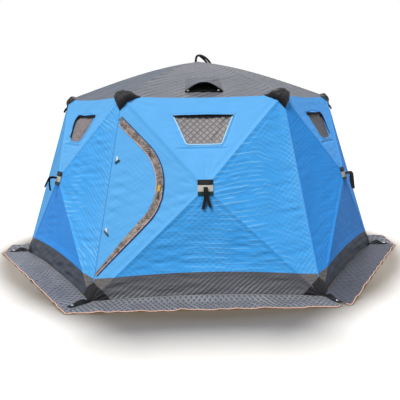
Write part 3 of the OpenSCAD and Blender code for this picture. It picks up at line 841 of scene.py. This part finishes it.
# Its piping changes edges at the door's middle; beside it lies the zip's tape, dark navy as a painted shadow of the
# flap's edge
piping = Pile()
middle = np.searchsorted(rim_in[:, 1], DOOR_MID - 0.03)
for rim in (rim_in[middle:], rim_out[:middle]):
    tube(piping, on_side(rim, FLAP_LIFT), PIPING_R)
shadow_tape = rim_out + [SHADOW_TAPE_OFF, 0]
swell = np.sin(math.pi * np.clip(np.linspace(0, 1.7, len(shadow_tape)), 0, 1))
ribbon(piping, on_side(shadow_tape, SHADOW_TAPE_LIFT), across_line(side, shadow_tape), lerp(SHADOW_TAPE_NARROW, SHADOW_TAPE_WIDE, swell), 0.003, 1)
sheet(flap, "storm_flap_cloth", [flap_taupe, flap_taupe], "storm_flap", "flap_cloth", (0.065, FLAP_L), body="door",
      hem=(piping, "flap_piping", [salmon, zip_shadow_navy]))


# Roof

VENT_W, VENT_LOW = HOOD_W / 2 - VENT_LAP, HOOD_UP + VENT_LAP
VENT = np.array([[-VENT_W, VENT_LOW], [VENT_W, VENT_LOW],
                 [VENT_W, VENT_LOW + HOOD_L / 2], [-VENT_W, VENT_LOW + HOOD_L / 2]])


def roof_gore(k):
    """One gore of the roof. The front one has the vent's hole."""
    cover = Pile()
    if k == 0:
        xy, _ = facing(gore, 0.6, (96, 64, 64, 64), VENT, 33)
        lay(cover, gore, xy, ROOF_SEED, wrap=True, flip=False, pitch=ROOF_QUILT, **ROOF_FOLDS)
    else:
        t, s = grid(81, 97)
        a, b, c = gore.tri
        xy = lerp(lerp(a, b, s[0][:, None])[None], c[None, None], t[..., None] * 0.9985)
        # The front left gore takes the roof cloth's copy with painted shade
        lay(cover, gore, xy, ROOF_SEED + k, mats=(2 if k == 5 else 0, 1), pitch=ROOF_QUILT, **ROOF_FOLDS)
    return cover


sheet(turned(roof_gore), "roof_cloth", [roof_grey, lining, shaded_left_roof_cloth], "roof", "roof_cloth", (2.78, 2.45))


# Window covers, each with a hem round it and a dark strip along its upper edge, a painted shadow under the hem

WIN_CLEAR, WIN_T, HEM_GROW, ROUND_R, SQUARE_R = 0.0015, 0.004, 0.004, 0.075, 0.018
OUTER_SIDE = {1: 1, 5: -1}  # the side windows are rounded, and their strip of painted shadow turns down on the outer side
# The side windows' covers take the window cloth's copies with painted shade
COVER_LOOK = {0: 0, 1: 3, -1: 4}


def on_upper(xy, seed, h):
    """Points above the cloth of a wall's upper panel."""
    return raised(upper, xy, relief(upper, xy, seed, **UPPER_FOLDS) + h)[0]


def window_cover(k):
    pile, seed, outer_side = Pile(), UPPER_SEED + SEED_STEP * k, OUTER_SIDE.get(k, 0)
    t, s = grid(33, 49)
    half = lerp(WIN_TOP / 2, WIN_LOW / 2, t) - WIN_CLEAR
    xy = np.stack([(2 * s - 1) * half, -WIN_DROP - WIN_CLEAR - t * (WIN_H - 2 * WIN_CLEAR)], -1)
    uv = quilt_uv(xy, WIN_QUILT, math.radians(45))
    fold = 0.86 * xy[..., 0] - 0.51 * (xy[..., 1] + WIN_DROP + 0.13) - 0.125
    rise = -0.0050 + 0.0030 * pillow(uv) + 0.0022 * ripples(xy, seed, 0.10, 1.1, 0.3)
    rise = rise + ridge(fold, -0.0100, 0.014) + ridge(fold, 0.0040, 0.014, -0.030)
    top, out = raised(upper, xy, relief(upper, xy, seed, folds=0.0, quilt=0.0) + rise)
    pile.shell(top, -out * WIN_T, uv + seed, flip=True, mats=(COVER_LOOK[outer_side],) * 2)

    corners = WINDOW + HEM_GROW * np.sign(WINDOW - WINDOW.mean(0))
    beside = [(corners[i - 1], p, corners[(i + 1) % 4]) for i, p in enumerate(corners)]
    outline = np.concatenate([bend(*three, ROUND_R if outer_side else SQUARE_R, 12) for three in beside])
    hem = path(np.concatenate([outline, outline[:1]]), 141)[:-1]
    # The hem tube: the front window's takes the pale blue of a painted highlight, the side windows' take the upper
    # cloth with painted light
    tube(pile, on_upper(hem, seed, 0.0025), 0.0046 if outer_side else 0.0066, 8, 5 if outer_side else 2, closed=True)
    if outer_side:
        for a, p, b in beside:
            corner = lerp(p, bend(a, p, b, ROUND_R, 17)[:, None], np.linspace(0.02, 1, 5)[None, :, None])
            pile.shell(on_upper(corner, seed, 0.0035), -outward(upper.at(corner)) * WIN_T, quilt_uv(corner), flip=True,
                       mats=(5, 5))
        start, turning, end = (WINDOW[i] for i in ((0, 1, 2) if outer_side > 0 else (1, 0, 3)))
        route = [[start], bend(start, turning, end, 0.10, 15), [lerp(end, turning, 0.14)]]
        shadow_strip = path(np.concatenate(route), 61) + [-0.003 * outer_side, -0.003]
        shadow_strip[:, 0] += 0.006 * np.sin(np.linspace(0, 14, 61))
        width, lift = 0.024 + 0.005 * np.sin(np.linspace(0, 11, 61)), 0.0085
    else:
        reach = WIN_TOP / 2 + 0.002
        shadow_strip = np.stack([np.linspace(-reach, reach, 41), np.full(41, -WIN_DROP - 0.006)], -1)
        width, lift = 0.008 + 0.016 * np.sin(math.pi * np.linspace(0.04, 0.97, 41)) ** 0.7, 0.0105
    # Painted shadow: the black strip along the window's upper edge
    ribbon(pile, on_upper(shadow_strip, seed, lift), across_line(upper, shadow_strip), width, 0.003, 1)
    return pile


window_looks = [taupe, shadow_strip_black, hem_highlight_blue, shaded_right_window_cloth, shaded_left_window_cloth, lit_upper_cloth]
sheet(turned(window_cover), "window_quilts", window_looks, "window_covers", "window_cloth", (0.51, 1.63))


# Black caps over the corners

CAP_T, FOOT_CLEAR = 0.003, 0.0045
FAN_STEPS, FAN_ROWS = 24, 21


def fan(tip, rim, wrap, seed, lift, folds, crease=5, low=None, ball=0.0, proud=0.0):
    """A cap of cloth that spreads from a corner to its rim, over a ball inside the corner if its radius is given."""
    ends = rim + rim[:1] if wrap else rim
    runs = [lerp(a, b, np.linspace(0, 1, FAN_STEPS, endpoint=False)[:, None]) for a, b in zip(ends, ends[1:])]
    edge = np.concatenate(runs + ([] if wrap else [rim[-1][None]]))
    s = np.linspace(0.004, 1, FAN_ROWS)[None, :, None]
    p = tip + (edge - tip)[:, None] * s
    turnings = np.linspace(0, 1, len(edge))[:, None, None]
    rng = np.random.default_rng(seed)
    fold = sum(np.sin(2 * math.pi * c * turnings + rng.uniform(0, 6.28)) for c in (crease, 2 * crease + 1)) / 1.4
    h = lift(s) + folds * fold * 4 * s * (1 - 0.75 * s) * (s > 0.05)
    if ball:
        heart = tip - outward(tip) * ball
        r = np.linalg.norm(p - heart, axis=-1, keepdims=True)
        p = p + (p - heart) / r * (np.maximum(ball + proud - r, 0) * (1 - s ** 5))
    top = p + outward(p) * h
    depth = -outward(p) * CAP_T
    if low is not None:
        top[..., 2] = np.maximum(top[..., 2], low + CAP_T)
        depth = np.maximum(top + depth, [-9, -9, low]) - top
    run = np.linalg.norm(edge - tip, axis=-1)[:, None] * s[..., 0]
    pile = Pile()
    pile.shell(top, depth, np.stack([run / 0.03, turnings[..., 0] * 20 + 0 * run], -1), wrap, (0, 0), flip=True)
    return pile


def top_cap(k):
    seam_kink, eave_tip = beyond(TOP, HUB, 0.074), beyond(TOP, TOP * FLIP, CAP_REACH)
    rim = [beyond(TOP, PEAK, 0.082), eave_tip, seam_kink, beyond(TOP, FOOT, CAP_DROP), twin(seam_kink), twin(eave_tip)]
    crown = dict(ball=0.105, proud=0.030) if k < 2 else dict(ball=0.07, proud=0.006)
    return fan(TOP, rim, True, TOP_CAP_SEED + k, lambda s: 0.004 + 0.008 * np.sin(math.pi * s), 0.0018, **crown)


def foot_cap(k):
    hem_x = FOOT_REACH - BASE_R / 2
    hem_end, seam_end = on_lower(hem_x, foot_z(hem_x)), beyond(FOOT, HUB, FOOT_UP * 0.85)
    rim = [twin(hem_end), twin(seam_end), beyond(FOOT, TOP, FOOT_UP), seam_end, hem_end]
    return fan(FOOT, rim, False, FOOT_CAP_SEED + k, lambda s: 0.0045 + 0.007 * np.sin(math.pi * s ** 0.7), 0.0025,
               crease=4, low=FOOT_CLEAR)


sheet(turned(top_cap), "top_cap_cloth", [cap_black], "top_caps", "cap_cloth", (0.40, 0.60))
sheet(turned(foot_cap), "bottom_cap_cloth", [cap_black], "bottom_caps", "cap_cloth", (0.35, 0.60))


# Hub patches and their straps

PATCH_W, PATCH_T = 0.128, 0.003
# Lower and upper edge of a patch's strips from the hub, their look and their lift
PATCH_STRIPS = ((0.022, 0.064, 1, 0.0105), (-0.032, 0.024, 0, 0.0085), (-0.060, -0.030, 2, 0.0100))
STRAP_W, STRAP_T, FRONT_LEG_L, OTHER_LEG_L = 0.026, 0.004, 0.20, 0.16
# Points of each strap's two legs, from the hub: across, out (below 0) and up
FRONT_LEGS = ([[0.004, 0, 0], [0.004, -0.021, 0], [0.008, -0.030, -0.030], [0.016, -0.028, -0.090],
               [0.040, -0.022, -0.165]],
              [[-0.004, 0, 0], [-0.004, -0.015, 0], [-0.004, -0.022, -0.030], [-0.004, -0.020, -0.090],
               [-0.022, -0.016, -0.180]])
RIGHT_LEGS = ([[0.004, 0, 0], [0.004, -0.044, 0.010], [0.005, -0.064, -0.004], [0.006, -0.074, -0.070],
               [0.008, -0.084, -0.150]],
              [[-0.004, 0, 0], [-0.004, -0.036, 0.004], [-0.004, -0.052, -0.012], [-0.003, -0.060, -0.070],
               [0.000, -0.076, -0.140]])
OTHER_LEGS = ([[0.004, 0, 0], [0.004, -0.040, 0.010], [0.006, -0.072, 0.006], [0.008, -0.098, -0.034],
               [0.010, -0.122, -0.078]],
              [[-0.004, 0, 0], [-0.004, -0.036, 0.006], [-0.004, -0.066, -0.004], [-0.002, -0.072, -0.060],
               [0.002, -0.066, -0.118]])

planes = []
for panel in (upper, side, lower):
    n = np.cross(panel.ex, panel.ey)
    n = n * (1 if n @ (panel.o - CORE) > 0 else -1)
    planes += [(n, panel.o)] + ([(n * FLIP, panel.o * FLIP)] if panel is side else [])


def hub_y(x, z):
    """How far out the cloth lies at a place near the hub, seen from the front."""
    return np.max([(n @ o - n[0] * x - n[2] * z) / n[1] for n, o in planes], axis=0)


def hub_patch(k):
    cover = Pile()
    for low, high, mat, lift in PATCH_STRIPS:
        t, s = grid(33, 13)
        x, z = lerp(-PATCH_W / 2, PATCH_W / 2, t), lerp(low, high, s)
        y = hub_y(x, HUB_H + z) - lift - 0.0012 * np.sin(math.pi * s) - 0.0008 * np.sin(40 * x + 3 * z + k)
        cover.shell(np.stack([x, y, HUB_H + z], -1), np.array([0, PATCH_T, 0]), np.stack([x, z], -1) / 0.03,
                    mats=(mat, mat))
    return cover


def hub_strap(k):
    strap = Pile()
    start = np.array([0, -HUB_R - 0.012, HUB_H + 0.006])
    for leg in {0: FRONT_LEGS, 1: RIGHT_LEGS}.get(k, OTHER_LEGS):
        line = curve(start + np.array(leg), 40)
        ribbon(strap, line, showing(line, [1, 0, 0], 0.7 if k else 0.0), STRAP_W, STRAP_T)
    strap.area = 2 * STRAP_W * (OTHER_LEG_L if k else FRONT_LEG_L)
    return strap


sheet(turned(hub_patch), "hub_patch_cloth", [pale, web_black, dark_patch], "hub_patches", "patch_cloth", (0.124, 0.80),
      "laid")
sheet(turned(hub_strap), "hub_strap_webbing", [web_black], "hub_straps", "webbing", (12 * STRAP_W, 0.167), "hung")


# Loop at the peak and the short tails at the outer corners

loop = Pile()
outer_strand = [[-0.026, 0.004, -0.010], [-0.022, 0, 0.030], [-0.010, -0.006, 0.062], [0.026, -0.010, 0.068],
                [0.070, -0.008, 0.050], [0.108, 0, 0.018], [0.142, 0.004, -0.030]]
inner_strand = [[0.020, -0.004, 0.064], [0.052, 0.006, 0.040], [0.082, 0.010, 0.010], [0.106, 0.010, -0.024]]
for strand, count in ((outer_strand, 70), (inner_strand, 40)):
    line = curve(PEAK + np.array(strand), count)
    ribbon(loop, line, showing(line, [0, 1, 0], 0.80), WEB_W, 0.006)
sheet(loop, "roof_loop_webbing", [web_black], "roof_strap", "webbing", (WEB_W, 0.40), "hung", area=WEB_W * 0.39)

TAIL_W, TAIL_L, TAIL_WALLS = 0.020, 0.064, (2, 3, 4, 5)


def corner_tail(k):
    tail = Pile()
    away = unit([TOP[0], TOP[1], 0])
    start = beyond(TOP, FOOT, CAP_DROP - 0.040) - away * 0.002
    line = curve([start, start + away * 0.020 - UP * 0.016, start + away * 0.038 - UP * 0.048], 20)
    ribbon(tail, line, showing(line, np.cross(away, UP), 0.9), TAIL_W, WEB_T)
    return tail


sheet(turned(corner_tail, TAIL_WALLS), "corner_tails", [web_black], None, "webbing", (4 * TAIL_W, 0.065), "hung",
      area=4 * TAIL_W * TAIL_L)


# Vent hood on the front of the roof

HOOD_X, HOOD_T, SILL_W, SILL_LIFT, TAB_L, TAB_LIFT = 0.019, 0.003, 0.024, 0.005, 0.020, 0.012
HOOD_TABS = ((-0.125, 0.016, 2), (0.145, 0.018, 2), (0.016, 0.050, 1))  # place across, width and look
gore_up = np.cross(gore.ex, gore.ey)


def on_gore(xy, h):
    """Points straight above the front gore."""
    return gore.at(xy) + eave_shift(gore, xy) + gore_up * np.asarray(h)[..., None]


def hood_grid(n, m, lift, end=1.0, grow=1.0):
    t, s = grid(n, m)
    s = lerp(0.0, end, s)
    a = 2 * t - 1
    width = HOOD_W / 2 * grow * (0.98 - 0.10 * s ** 2)
    rise = HOOD_H * (1 - np.abs(a) ** 2.0) * (1 - s) ** 1.7
    xy = np.stack([a * width + HOOD_X, HOOD_UP + s * HOOD_L * 0.94], -1)
    return on_gore(xy, rise + relief(gore, xy, ROOF_SEED, **ROOF_FOLDS) + lift), xy


hood = Pile()
top, xy = hood_grid(65, 41, 0.005)
hood.shell(top, -gore_up * HOOD_T, quilt_uv(xy, HOOD_QUILT), mats=(0, 1))
top, xy = hood_grid(65, 9, 0.0075, 0.055, 1.03)
hood.shell(top - gore.ey * 0.004, -gore_up * 0.0035, quilt_uv(xy), mats=(1, 1))
sill = np.stack([HOOD_X + np.linspace(-0.49, 0.49, 33) * HOOD_W, np.full(33, HOOD_UP + 0.008)], -1)
ribbon(hood, on_gore(sill, relief(gore, sill, ROOF_SEED, **ROOF_FOLDS) + SILL_LIFT), gore.ey, SILL_W, 0.004, 1)
for x, wide, mat in HOOD_TABS:
    spot = np.stack([np.linspace(x - wide / 2, x + wide / 2, 9), np.full(9, HOOD_UP - 0.010)], -1)
    ribbon(hood, on_gore(spot, TAB_LIFT), gore.ey, TAB_L, 0.005, mat)
sheet(hood, "vent_hood_cloth", [hood_grey, web_black, pale], "vent_hood", "roof_cloth", (0.42, 0.46),
      area=min(hood.area, 0.19))


# Skirts on the ground, with piping round their edges

RAISED = {2: (-1, 0.085), 4: (1, 0.052)}  # the end of a skirt that stands up in a hump, and its height
JOINED = {(0, -1), (5, 1)}                # the ends that are sewn together, by wall and end
SKIRT_QUILT = {0: (0.038, 60), 1: (0.062, 38), 5: (0.046, 45)}
OTHER_QUILT = (0.048, 66)
SKIRT_LOOK = {0: skirt_front, 1: shaded_right_skirt_cloth, 5: skirt_left}
SKIRT_PIPING_R = 0.0040


def skirt(k):
    """A skirt's cloth and its piping."""
    t, s = grid(201, 25)
    a = 2 * t - 1
    along = a * BASE_R / 2
    wave = ripples(np.stack([along, 0 * along], -1), SKIRT_EDGE_SEED + k, 0.30, math.pi / 2, 0.2)
    reach = lerp(0.006, SKIRT_W * (0.985 + (0.008 if k in (1, 5) else 0.018) * wave), s)
    ends = (BASE_AP + reach) * T30
    for sign in (-1, 1):
        cut = 0.001
        if (k, sign) not in JOINED:
            rounding = 0.12 if (k, sign) == (0, 1) else 0.045
            q = np.clip((s - 0.35) / 0.65, 0, 1)
            cut = SKIRT_GAP / 2 / C30 + rounding * (1 - np.sqrt(1 - 0.98 * q ** 2))
        ends = np.where(a * sign > 0, ends - cut, ends)
    x = a * ends
    slope = 1 - smooth(reach / SLOPE_W)
    hem = np.maximum(0, foot_z(along) - SKIRT_T)
    corner = smooth((1 - np.abs(a)) / 0.12)
    spot = np.stack([x, reach], -1)
    size = 0.006 if k in (0, 5) else 0.010
    folds = np.maximum(0, ripples(spot, SKIRT_FOLD_SEED + k, 0.22, 1.35, 0.5) + 0.3) * size * s ** 1.2 * corner
    creases = np.maximum(0, ripples(spot, SKIRT_CREASE_SEED + k, 0.11, 0.5, 1.2))
    folds = folds + 0.004 * creases * smooth(reach / 0.1) * corner
    pitch, angle = SKIRT_QUILT.get(k, OTHER_QUILT)
    uv = quilt_uv(spot, pitch, math.radians(angle))
    z = SKIRT_T + hem * slope + folds + 0.0018 * pillow(uv)
    if k in RAISED:
        end, hump = RAISED[k]
        inward = 1 - a * end
        z = z + ridge(inward, hump, 0.085, 0.13) * smooth(s / 0.3) * (1 - 0.45 * s) * smooth(inward / 0.035)
    y = -BASE_AP - reach + (BASE_AP - HUB_R) * hem / HUB_H
    top = np.stack([x, y, z], -1)
    cloth, edging = Pile(), Pile()
    cloth.shell(top, np.array([0, 0, -SKIRT_T]), uv + 7 * k, mats=(0, 1))
    first, last = (1 if (k, sign) in JOINED else 5 for sign in (-1, 1))
    line = path(np.concatenate([top[0, -first:], top[1:-1, -1], top[-1, ::-1][:last]]) + [0, 0, -0.002], 301)
    line[:, 2] = np.maximum(line[:, 2], 0.0042)
    tube(edging, line, SKIRT_PIPING_R, 6)
    return cloth, edging


for k, wall in enumerate(WALLS):
    cloth, edging = skirt(k)
    sheet(turned(lambda _: cloth, [k]), wall + "_skirt_cloth", [SKIRT_LOOK.get(k, skirt_grey), lining],
          wall + "_skirt", "skirt_cloth", (2.20, 0.28), "laid",
          hem=(turned(lambda _: edging, [k]), wall + "_skirt_piping", [salmon]))


# Anchor straps at the bottom corners, each with an eyelet

ANCHOR_W, ANCHOR_T, ANCHOR_L = 0.042, 0.0035, 0.20
ANCHOR_START, ANCHOR_END, ANCHOR_RUN = 0.006, 0.204, 0.198
EYELET_R, EYELET_WIRE, EYELET_LIFT, EYELET_AT = 0.0092, 0.0028, 0.0025, 40


def anchor_line(k):
    """The points along an anchor strap, its tilt at each of them and the direction across it."""
    away = unit([FOOT[0], FOOT[1], 0])
    aside = np.array([-away[1], away[0], 0])
    f = np.linspace(0, 1, 49)[:, None]
    tilt = (0.85 if k in (2, 5) else 0.50) * np.sin(math.pi * smooth(f / 0.8)) + 0.06
    rise = (0.0095 if k else 0.0125) + 0.022 * np.sin(tilt) + 0.004 * np.sin(math.pi * f)
    swing = np.tan(0.0 if k else 0.22)
    out = lerp(BASE_R + ANCHOR_START, BASE_R + ANCHOR_END, f)
    line = away * out + aside * (0.008 * np.sin(5 * f + k) - swing * ANCHOR_RUN * f)
    return line + UP * rise, tilt, aside


def anchor(k):
    strap = Pile()
    line, tilt, aside = anchor_line(k)
    facing_way = -1 if k in (0, 4, 5) else 1
    ribbon(strap, line, facing_way * aside * np.cos(tilt) + UP * np.sin(tilt), ANCHOR_W, ANCHOR_T)
    strap.area = ANCHOR_W * ANCHOR_L
    return strap


def eyelet(k):
    metal = Pile()
    a = np.linspace(0, 2 * math.pi, 32, endpoint=False)
    centre = anchor_line(k)[0][EYELET_AT] + [0, 0, EYELET_LIFT]
    tube(metal, centre + EYELET_R * np.stack([np.cos(a), np.sin(a), 0 * a], -1), EYELET_WIRE, closed=True)
    return metal


sheet(turned(anchor), "anchor_strap_webbing", [web_black], "anchor_straps", "webbing", (0.252, ANCHOR_L), "laid")
turned(eyelet).make("strap_eyelets", [steel], slot="hub_plastic")


# Fittings on the door

TOGGLES = ((DOOR_MID - 0.400, -1), (DOOR_MID + 0.212, 1))  # height, and which way the bar slopes
TOGGLE_R = 0.0074
# Parts of the zip pull: their upper and lower ends from the door's middle, width, thickness, look and lift
PULL_PARTS = ((0.040, -0.012, 0.020, 0.006, 0, 0.0165), (-0.006, -0.050, 0.013, 0.005, 1, 0.0160),
              (-0.044, -0.074, 0.017, 0.007, 1, 0.0155))
PULL_U = DOOR_R - 0.002

toggles = Pile()
for v, slope in TOGGLES:
    loop_line = np.stack([np.linspace(0.040, 0.047, 13), np.linspace(v + 0.032, v - 0.004, 13)], -1)
    ribbon(toggles, on_side(loop_line, 0.004), side.ex, 0.016, 0.003, 1)
    bar = np.stack([np.linspace(0.032, 0.066, 9), v - 0.010 + slope * np.linspace(-0.016, 0.016, 9)], -1)
    tube(toggles, on_side(bar, 0.0085), TOGGLE_R, 12, 0)
toggles.make("door_toggle_bars", [plastic, ivory], "door_toggles", "toggle", "door")

pull = Pile()
for v0, v1, wide, thick, mat, lift in PULL_PARTS:
    line = np.stack([np.linspace(PULL_U, PULL_U - 0.004, 15), DOOR_MID + np.linspace(v0, v1, 15)], -1)
    ribbon(pull, on_side(line, lift), side.ex, wide, thick, mat)
pull.make("zip_pull_tab", [yellow, plastic], "zip_pull", "zip_pull", "door")


# Camera, fitted to the photograph

CAM_AT = (-0.1734, -5.9712, 1.5579)
YAW, PITCH, ROLL = 0.0291, 0.1670, -0.0139
FOCAL_PX, PHOTO_PX, SENSOR = 541.72, 400, 36
scene = bpy.context.scene
look = np.array([math.sin(YAW) * math.cos(PITCH), math.cos(YAW) * math.cos(PITCH), -math.sin(PITCH)])
right = np.array([math.cos(YAW), -math.sin(YAW), 0])
up = np.cross(right, look)
x_axis = right * math.cos(ROLL) + up * math.sin(ROLL)
y_axis = -right * math.sin(ROLL) + up * math.cos(ROLL)
camera = bpy.data.objects.new("camera", bpy.data.cameras.new("camera"))
camera.data.sensor_width = SENSOR
camera.data.lens = SENSOR * FOCAL_PX / PHOTO_PX
camera.matrix_world = Matrix([*zip(x_axis, y_axis, -look, CAM_AT), (0, 0, 0, 1)])
scene.collection.objects.link(camera)
scene.camera = camera


# Light and floor

FLOOR_REACH, FLOOR_Z = 60, -0.001
AO_SAMPLES, AO_REACH, AO_GAIN, AO_OFFSET = 64, 0.8, 7.0, -5.85


def sun(name, towards, power, spread, colour=(1, 1, 1), state="EXCLUDE"):
    """Soft parallel light that leaves out the floor, or that lights nothing else."""
    data = bpy.data.lights.new(name, "SUN")
    data.energy, data.angle, data.color = power, math.radians(spread), colour
    lamp = bpy.data.objects.new(name, data)
    lamp.rotation_euler = Vector(towards).to_track_quat("Z", "Y").to_euler()
    scene.collection.objects.link(lamp)
    group = bpy.data.collections.new(name + "_floor")
    group.objects.link(floor)
    lamp.light_linking.receiver_collection = group
    group.collection_objects[0].light_linking.link_state = state


def seen_or_not(kit, on_its_way, seen):
    """One shader for what the camera sees, straight or in a mirror or glass, and another for light on its way."""
    ray = kit.add("LightPath").node.outputs
    some = kit.op("MAXIMUM", ray["Is Camera Ray"], ray["Is Glossy Ray"])
    directly = kit.op("MAXIMUM", some, ray["Is Transmission Ray"])
    return kit.add("MixShader", {0: directly, 1: on_its_way, 2: seen})


world = bpy.data.worlds.new("studio")
scene.world = world
world.use_nodes = True
kit = Nodes(world.node_tree)
sky = world.node_tree.nodes["Background"]
kit.feed(sky.inputs[0], (0.97, 0.98, 1.0))
kit.feed(sky.inputs[1], 0.14)
backdrop = kit.add("Background", {0: (1, 1, 1)})
kit.feed(world.node_tree.nodes["World Output"].inputs[0], seen_or_not(kit, sky.outputs[0], backdrop))

# The floor looks white, with a contact shadow, and throws little light back at the hut
floor_mesh = bpy.data.meshes.new("floor")
outline = [(x * FLOOR_REACH, y * FLOOR_REACH, FLOOR_Z) for x, y in ((-1, -1), (1, -1), (1, 1), (-1, 1))]
floor_mesh.from_pydata(outline, [], [(0, 1, 2, 3)])
pale_floor, kit, grey = new_material("floor")
kit.feed(grey.inputs["Base Color"], (0.16, 0.16, 0.16))
kit.feed(grey.inputs["Roughness"], 1.0)
open_sky = kit.add("AmbientOcclusion", {"Distance": AO_REACH}, "AO", samples=AO_SAMPLES)
shadow = kit.mix(kit.scaled(open_sky, AO_GAIN, AO_OFFSET), (0.25, 0.238, 0.222), (1.0, 0.985, 0.96))
glow = kit.add("Emission", {0: (1.0, 0.76, 0.48), 1: 0.135})
white = kit.add("AddShader", {0: kit.add("BsdfDiffuse", {0: shadow}), 1: glow})
kit.feed(pale_floor.node_tree.nodes["Material Output"].inputs[0], seen_or_not(kit, grey.outputs[0], white))
floor_mesh.materials.append(pale_floor)
floor = bpy.data.objects.new("floor", floor_mesh)
scene.collection.objects.link(floor)

sun("key", (-0.34, -0.50, 0.79), 3.0, 24, (1.0, 0.985, 0.96))
sun("fill", (0.62, -0.68, 0.35), 0.55, 40, (0.86, 0.95, 1.0))
sun("back", (0.04, 0.60, 0.80), 1.20, 20)
sun("floor", (0.0, 0.64, 0.768), 4.05, 16, state="INCLUDE")


# Pieces that keep their shape from the frame

FINISH = {"corner_seams": bead_blue, "vent_mesh": net, "roof_poles": pole, "wall_hubs": plastic,
          "roof_hub": plastic, "top_sockets": plastic, "bottom_sockets": plastic}
FINISH.update({wall + "_poles": pole for wall in WALLS})
for name, material in FINISH.items():
    nodes[name].data.materials.clear()
    nodes[name].data.materials.append(material)

for piece, flat, area, held, hems in sheets:
    min(area, flat[0] * flat[1])
    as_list(hems)

scene.view_settings.view_transform = "Standard"
scene.render.film_transparent = False
